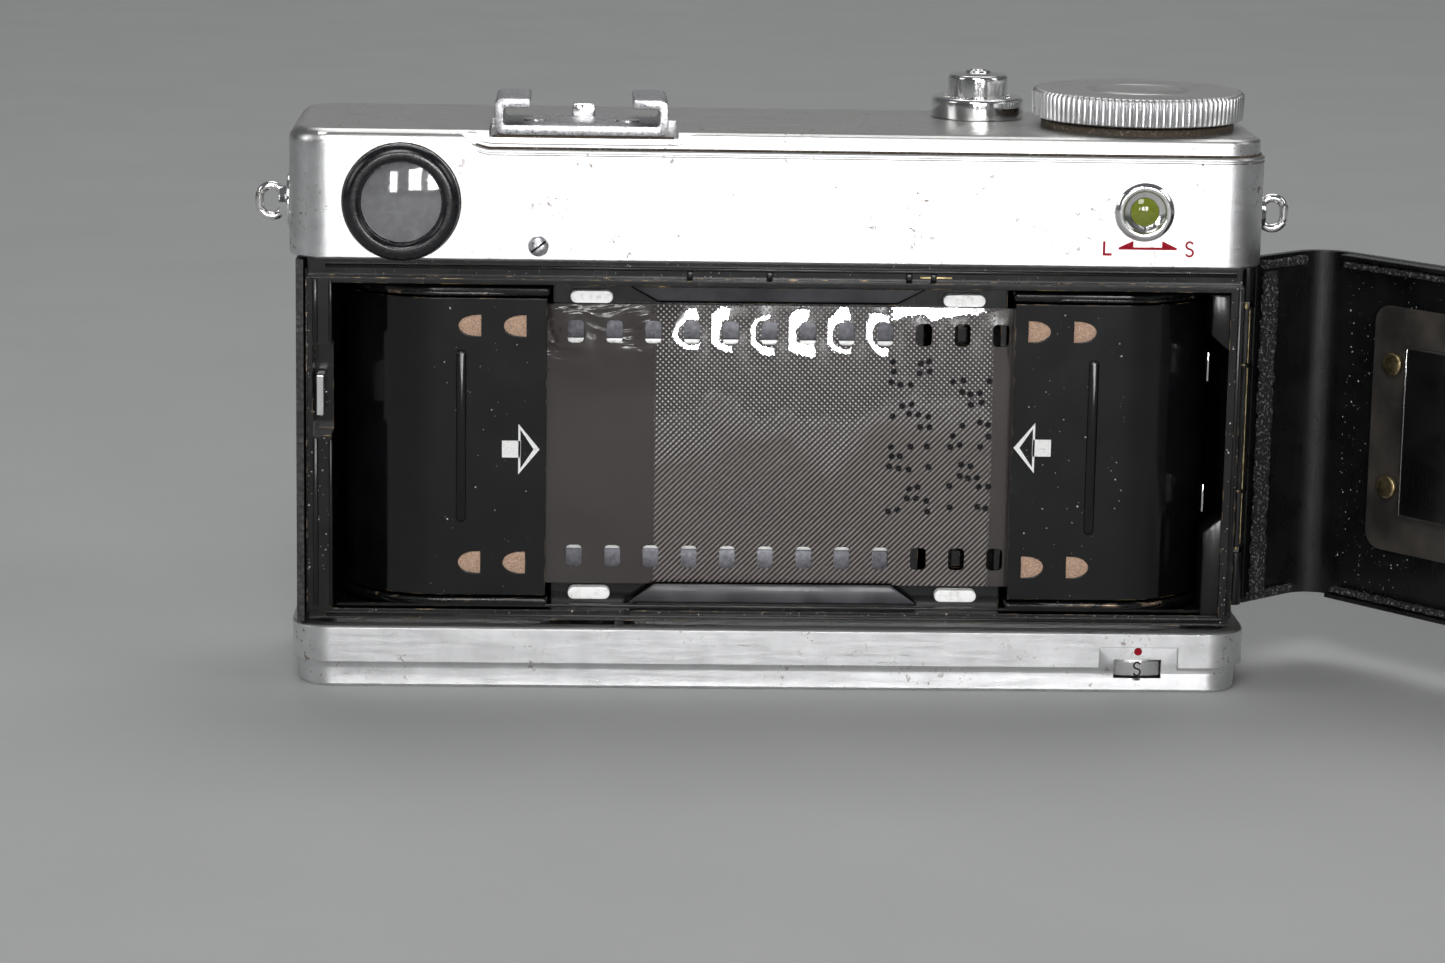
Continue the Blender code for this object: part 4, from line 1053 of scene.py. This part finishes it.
def hollow_triangle(name, outline, width, start, end):
    """A triangle drawn as a line of some width."""
    inner = drawn_in(outline, width)
    points, faces = [], []
    for along in (start, end):
        points += [place(u, v, along, "Y") for u, v in outline]
        points += [place(u, v, along, "Y") for u, v in inner]
    for i in range(3):
        j = (i + 1) % 3
        faces.append([i, j, j + 3, i + 3])
        faces.append([i + 6, j + 6, j + 9, i + 9])
        faces.append([i, j, j + 6, i + 6])
        faces.append([i + 3, j + 3, j + 9, i + 9])
    return add_mesh(name, points, faces, WHITE_INK)


# Body interior


def bar(name, x, y, z, material, axis="X", edge=0.12, slot="black_casting"):
    """A long strip on the camera with rounded edges, from three (low, high) pairs."""
    spans = {"X": (y, z, x), "Y": (x, z, y), "Z": (x, y, z)}[axis]
    (a, b), (c, d), (start, end) = spans
    radius = min(edge, 0.45 * (b - a), 0.45 * (d - c))
    outline = rounded((a, c), (b, d), radius, 3)
    fit(prism(name, outline, axis, start, end, material, radius * 0.6), "camera", slot)


def interior():
    for level in ("top", "bottom"):
        for side in ("left", "right"):
            bevelled(f"guide_pad_{level}_{side}", "camera", "white_pad", PAD, 0.15)
    groove_y, stop_y = (-12.75, -12.1), (-12.7, -12.1)
    bar("groove_rail_upper", (-54.8, 56.2), groove_y, (52.0, 52.45), CASTING)
    bar("groove_rail_lower", (-53.6, 55.6), groove_y, (50.55, 50.95), CASTING)
    bar("sill_rail_upper", (-53.6, 55.6), groove_y, (9.95, 10.35), CASTING)
    bar("sill_rail_lower", (-54.8, 56.2), groove_y, (8.55, 9.0), CASTING)
    for i, x in enumerate((-10.6, -0.9, 16.1, 19.1)):
        bar(f"groove_stop_{i}", (x - 0.35, x + 0.35), stop_y, (51.0, 52.0), CASTING)
    bar("sill_stop", (-18.1, -17.4), stop_y, (9.0, 9.95), CASTING)
    bar("left_edge_brass", (-57.1, -56.96), (-13.95, -13.7), (9.2, 52.0), RUBBED, "Z", 0.08, "brass")
    outer, inner = ((-56.3, -55.65), (-14.15, -13.7)), ((-54.35, -53.9), (-14.1, -13.7))
    for i, z in enumerate(((10.2, 31.2), (42.9, 50.8))):
        bar(f"left_rail_outer_{i}", *outer, z, CASTING, "Z", 0.2)
    bar("left_rail_inner", *inner, (10.2, 31.0), CASTING, "Z", 0.2)
    bar("left_rail_inner_top", *inner, (43.0, 50.6), CASTING, "Z", 0.2)
    right_steps()
    bar("right_rail", (56.3, 56.75), (-14.05, -13.7), (9.8, 50.8), CASTING, "Z", 0.2)
    for i, z in enumerate(((22.7, 26.2), (39.1, 42.7))):
        bar(f"contact_tab_{i}", (53.0, 53.25), (-12.4, -10.2), z, CHROME, "Z", 0.08, "bright_chrome")
    for i, row in enumerate((-1, 1)):
        near, mid, far = [AXIS_Z + row * reach for reach in (12.5, 13.2, 15.9)]
        grey = sorted((mid, far))
        bar(f"gate_rail_{i}", (-27.0, 14.6), (-9.28, -9.0), (grey[0] + 0.08, grey[1]), RAIL)
        bar(f"gate_rail_edge_{i}", (-27.0, 14.6), (-9.3, -9.0), sorted((near, mid)), PAD)
    gate_guides()
    bevelled("latch_catch", "catch", "bright_chrome", CHROME, 0.12)
    bar("counter_feed_brass", (17.4, 21.4), (-12.6, -12.1), (51.3, 51.7), BRASS, slot="brass")
    hinge_ends()


def gate_guides():
    """The raised guides beyond the film's two edges, each edged by a fine matt black line of painted
    shade.
    """
    for i, (near, far) in enumerate(((47.95, 49.75), (12.6, 10.2))):
        route = [(-17.6, far), (-14.4, near), (14.9, near + 0.05), (18.2, far)]
        outline = route if far < near else route[::-1]
        plate = prism(f"gate_guide_{i}", outline, "Y", -10.62, -10.2, GUIDE_PAINT, 0.3)
        fit(plate, "camera", "black_casting")
        # Painted shade: a matt black line along the guide's edge.
        line = [(x, -10.34, z) for x, z in route]
        dark_line = tube(f"gate_guide_shade_line_{i}", line, 0.16, MATT_BLACK, sides=8)
        fit(dark_line, "camera", "black_casting")


def hinge_ends():
    """The fixed ends of the hinge, above and below the door's knuckles, and its fine brass lines."""
    for level, low, high in (("bottom", 8.4, 15.2), ("top", 47.3, 53.0)):
        bar(f"hinge_web_{level}", (56.3, 58.9), (-0.8, 0.3), (low, high), CASTING, "Z", 0.2)
        ends = [(0.001, low), (0.95, low), (0.95, high), (0.001, high)]
        post = turned(f"hinge_post_{level}", soft_profile(ends, 0.15), HINGE, "Z", CASTING, 32)
        fit(post, "camera", "black_casting")
    x, y = 59.75, -1.97
    route = [(x, y, 23.5 + 15.5 * i / 8) for i in range(9)]
    fit(tube("hinge_line", route, 0.1, BRASS), "camera", "brass")
    for level, low, high in (("bottom", 16.4, 23.0), ("top", 39.6, 46.3)):
        route = [(x, y, low + (high - low) * i / 4) for i in range(5)]
        fit(tube(f"knuckle_line_{level}", route, 0.1, BRASS), "door", "brass")


def right_steps():
    """Two raised blocks on the right wall, each sloped where it faces the middle."""
    left, right, slope = 53.2, 55.5, 2.0
    lower = [(right, 9.9), (left, 9.9), (left, 22.4 - slope), (right, 22.4)]
    upper = [(right, 45.0 - slope), (left, 45.0), (left, 50.0), (right, 50.0)]
    for i, outline in enumerate((lower, upper)):
        step = prism(f"right_wall_step_{i}", outline, "Y", -13.75, -9.2, CASTING, 0.25)
        fit(step, "camera", "black_casting")


# Door


def foam_strip(name, low, high, along, *nodes):
    """A crumbling strip: a lumpy run of foam with its surface broken up."""
    run = "XYZ".index(along)
    across = [axis for axis in (0, 1, 2) if axis != run]
    centre = [(a + b) / 2 for a, b in zip(low, high)]
    half = [(b - a) / 2 for a, b in zip(low, high)]
    steps, count = int((high[run] - low[run]) / 0.45), 14
    rings = []
    for i in range(steps + 1):
        ring = []
        for k in range(count):
            angle = 2 * pi * k / count
            point = list(centre)
            point[run] = low[run] + (high[run] - low[run]) * i / steps
            for axis, value in zip(across, (cos(angle), sin(angle))):
                point[axis] += half[axis] * copysign(abs(value) ** 0.6, value)
            shift = noise.noise(Vector(point) * 1.3) * 0.3 + noise.noise(Vector(point) * 3.7) * 0.22
            for axis in across:
                point[axis] = centre[axis] + (point[axis] - centre[axis]) * min(1.0, 0.86 + shift)
            ring.append(point)
        rings.append(ring)
    fit(door_place(loft(name, rings, FOAM, sharp=70)), "door", "foam", *nodes)


def door():
    bevelled("back_door", "door", "black_paint", DOOR_PAINT, 0.14, 2)
    foam_strip("seal_top_foam", (-53.4, -14.9, 51.05), (54.0, -13.0, 52.0), "X", "door_seal_top")
    foam_strip("seal_bottom_foam", (-53.4, -14.9, 9.1), (54.0, -13.0, 9.88), "X", "door_seal_bottom")
    foam_strip("seal_hinge_foam", (57.75, -5.6, 9.6), (58.75, -2.6, 51.0), "Z", "door_seal_hinge")
    for level, low, high in (("top", 51.2, 52.5), ("bottom", 8.7, 9.9)):
        foam_strip(f"seal_end_{level}", (57.9, -11.0, low), (58.9, -2.7, high), "Y")
    bottom, top = 21.0, 42.2
    for side, sign in (("left", -1), ("right", 1)):
        bevelled(f"cassette_spring_{side}", "door", "grey_plate", GREY_PAINT, 0.1)
        low, high = sorted((sign * 32.8, sign * 43.45))
        outline = rounded((low, bottom), (high, top), 0.3, 3)
        panel = prism(f"spring_panel_{side}", outline, "Y", -13.55, -13.36, DOOR_PAINT, 0.05)
        fit(door_place(panel), "door", "black_paint")
        low, high = sorted((sign * 43.5, sign * 43.66))
        outline = rounded((low, bottom), (high, top), 0.05, 2)
        line = prism(f"spring_line_{side}", outline, "Y", -13.6, -13.36, CHROME)
        fit(door_place(line), "door", "bright_chrome")
        for level, z in (("top", 39.9), ("bottom", 24.2)):
            start = -13.95
            head = [(0.001, start + 0.62), (0.5, start + 0.66), (1.15, start + 0.62)]
            head += [(1.42, start + 0.5), (1.45, start), (0.001, start)]
            head = soft_profile(head, 0.08)
            rivet = turned(f"rivet_{side}_{level}", head, (sign * 45.9, z), "Y", BRASS, 64)
            fit(door_place(rivet), "door", "brass", f"spring_rivet_{side}_{level}")
    bevelled("pressure_plate", "door", "grey_plate", GREY_PAINT, 0.18)
    bevelled("latch_hook", "door", "bright_chrome", CHROME, 0.1)
    bevelled("door_covering", "door", "leatherette", LEATHER, 0.2)


def dust():
    """Dust in thin slices of space: (low corner, high corner, number of grains)."""
    near = DOOR_INNER_Y + 0.03
    regions = [((44, near, 9.5), (54.5, near, 51.5), 260), ((-50, near, 10), (44, near, 51), 500)]
    specks("door_dust", regions, "door")
    regions = [((-53, -12.25, 8.4), (56, -12.2, 9.4), 110)]
    regions.append(((-53, -12.25, 51.1), (56, -12.2, 53.0), 80))
    regions += [((-57, -13.83, 9), (-56.7, -13.8, 52), 40), ((-56.5, -13.83, 9), (-54, -13.8, 38), 40)]
    regions.append(((55.6, -13.83, 9), (56.9, -13.8, 52), 60))
    specks("body_dust", regions, "camera")
    regions = [((-42, -12.55, 11), (-30, -12.53, 48), 60), ((31, -12.55, 11), (43, -12.53, 48), 70)]
    specks("cassette_dust", regions, "film_load")


# Lens side


def knurled_ring(body, slot, material, outer, start, end, ridges):
    """A lens ring with a ridged grip between plain edges."""
    inner = 18.4
    edge = [(outer - 0.9, 0.0, 0), (outer - 0.6, 0.25, 0), (outer - 0.1, 0.5, 1), (outer, 0.8, 1)]
    profile = [(inner, start, 0)] + [(radius, start + inset, cut) for radius, inset, cut in edge]
    profile += [(radius, end - inset, cut) for radius, inset, cut in edge[::-1]] + [(inner, end, 0)]
    depth, steps = 0.5, 4
    ring = turned(
        f"{body}_grip", profile, (AXIS_X, AXIS_Z), "Y", material, ridges * steps,
        grooves=lambda i: depth * (i % steps < steps / 2),
    )
    fit(ring, body, slot, f"{body}_ring")


def lens_side():
    knurled_ring("aperture", "black_plastic", PLASTIC, 21.2, 25.4, 28.7, 90)
    knurled_ring("focus", "satin_chrome", SATIN, 20.6, 29.1, 34.6, 72)
    centre = (AXIS_X, AXIS_Z)
    mount = [(13, 14.1), (20.9, 14.1), (20.9, 16.1), (20.4, 16.6), (13, 16.6)]
    mount_ring = turned("mount_finished", soft_profile(mount, 0.2), centre, "Y", SATIN, 128)
    fit(mount_ring, "camera", "satin_chrome", "lens_mount_ring")
    bezel = [(9.9, 30.5), (15.6, 30.5), (15.6, 35.2), (14.9, 35.8), (14.2, 35.6), (13.6, 34.9)]
    bezel += [(12.2, 34.6), (11.9, 33.9), (10.6, 33.6), (9.9, 33.4)]
    bezel_ring = turned("bezel_finished", soft_profile(bezel, 0.15), centre, "Y", SATIN, 128)
    fit(bezel_ring, "camera", "satin_chrome", "front_bezel")
    radius, rim, crown = 9.5, 31.2, 2.2
    dome = [(0.001, 28.5), (radius, 28.5), (radius, rim)]
    for k in range(1, 12):
        angle = pi / 2 * k / 12
        dome.append((radius * cos(angle), rim + crown * sin(angle)))
    glass = turned("front_element", dome + [(0.001, rim + crown)], centre, "Y", FRONT_GLASS, 96)
    fit(glass, "camera", "clear_glass", "front_lens")
    for node in ("finder_window", "meter_window"):
        bevelled(node, "camera", "clear_glass", FRONT_GLASS, 0.2)
        low, high = corners(node)
        frame_line = rounded((low.x, low.z), (high.x, high.z), 0.5, 5)
        route = [(x, high.y + 0.02, z) for x, z in frame_line]
        fit(tube(f"{node}_frame", route, 0.32, SATIN, True, 12), "camera", "satin_chrome")


def carried_over():
    """Better materials on the CAD nodes that stay."""
    finishes = {
        CASTING: ["chassis", "shutter_housing", "hinge_leaf", "sprocket_shaft"],
        PLASTIC: ["finder_tube"],
        LEATHER: ["body_covering"],
        BRASS: ["hinge_pin"],
        CHROME: ["tripod_bush"],
        SATIN: ["pressure_spring"],
        DOOR_PAINT: ["shutter_blade_upper", "shutter_blade_lower"],
        FRONT_GLASS: ["rear_lens"],
    }
    for material, nodes in finishes.items():
        for node in nodes:
            for material_slot in NODES[node].material_slots:
                material_slot.material = material


# Studio


def studio():
    # A round floor, in metres, whose edge curves up all round
    flat, curve, rise, steps = 1.5, 0.6, 1.2, 96
    profile = [(0.05, 0.0), (0.4, 0.0), (0.9, 0.0)]
    for k in range(17):
        angle = pi / 2 * k / 16
        profile.append((flat + curve * sin(angle), curve - curve * cos(angle)))
    profile.append((flat + curve, rise))
    points = []
    for radius, height in profile:
        points += [(x, y, height / MM) for x, y in circle((0.0, 0.0), radius / MM, steps)]
    faces = [list(range(steps))]
    for level in range(len(profile) - 1):
        for i in range(steps):
            low, high, turn = level * steps, (level + 1) * steps, (i + 1) % steps
            faces.append([low + i, low + turn, high + turn, high + i])
    add_mesh("studio_floor", points, faces, FLOOR, 80)
    # Name, place and target in metres, width, height, power in watts
    lights = [
        ("key_light_left", (-0.16, -0.95, 0.14), (0.0, 0.0, 0.05), 0.07, 0.2, 0.075),
        ("key_light_middle", (0.05, -0.95, 0.16), (0.0, 0.0, 0.05), 0.12, 0.2, 0.185),
        ("key_light_right", (0.24, -0.95, 0.16), (0.0, 0.0, 0.05), 0.12, 0.2, 0.165),
        ("upper_light", (-0.15, -0.8, 0.75), (0.0, 0.0, 0.04), 0.4, 0.4, 4.2),
        ("left_light", (-1.1, -0.35, 0.55), (0.0, 0.0, 0.04), 0.4, 0.6, 2.0),
        ("right_light", (1.1, -0.45, 0.7), (0.0, 0.0, 0.04), 0.4, 0.6, 2.0),
        ("floor_light", (0.0, 1.3, 0.9), (0.0, 1.9, 0.25), 1.6, 0.3, 4.0),
        ("top_light", (0.1, 0.5, 1.1), (0.0, 0.1, 0.0), 0.9, 0.6, 5.0),
    ]
    for name, position, target, width, height, power in lights:
        lamp = bpy.data.lights.new(name, "AREA")
        lamp.shape = "RECTANGLE"
        lamp.size = width
        lamp.size_y = height
        lamp.energy = power
        if name.startswith("key"):
            lamp.spread = radians(60)
        obj = bpy.data.objects.new(name, lamp)
        obj.location = position
        obj.rotation_euler = (Vector(target) - Vector(position)).to_track_quat("-Z", "Y").to_euler()
        obj.visible_camera = False
        bpy.context.collection.objects.link(obj)
    world = bpy.data.worlds.new("studio_air")
    world.use_nodes = True
    background = world.node_tree.nodes["Background"]
    background.inputs["Color"].default_value = (0.9, 0.93, 1.0, 1)
    background.inputs["Strength"].default_value = 0.13
    bpy.context.scene.world = world
    bpy.context.scene.view_settings.view_transform = "Standard"


def camera():
    """The place, in metres, and the turn from which the photograph was taken."""
    place_of_view = (-0.02398, -0.49347, 0.12493)
    yaw, pitch, roll = radians(2.115), radians(11.62), radians(0.999)
    forward = Vector((sin(yaw), cos(yaw), 0)) * cos(pitch)
    forward.z = -sin(pitch)
    level = Vector((cos(yaw), -sin(yaw), 0))
    above = level.cross(forward)
    right = cos(roll) * level + sin(roll) * above
    up = -sin(roll) * level + cos(roll) * above
    lens = bpy.data.cameras.new("view")
    lens.lens = 99.654
    lens.sensor_width = 36
    lens.clip_start = 0.01
    obj = bpy.data.objects.new("view", lens)
    turn = Matrix((right, up, -forward)).transposed().to_4x4()
    obj.matrix_world = Matrix.Translation(place_of_view) @ turn
    bpy.context.collection.objects.link(obj)
    bpy.context.scene.camera = obj


covers()
strap_lugs()
eyepiece()
indicator()
printed_marks()
screw()
shutter_release()
advance_wheel()
lock_drum()
film()
punched_dots()
cassette("cassette_left", -1, (-35.9, -30.4), -38.3, 20.6, 42.0, -28.7)
cassette("cassette_right", 1, (30.9, 36.5), 39.1, 19.7, 41.6, 29.5)
interior()
door()
dust()
lens_side()
carried_over()
studio()
camera()
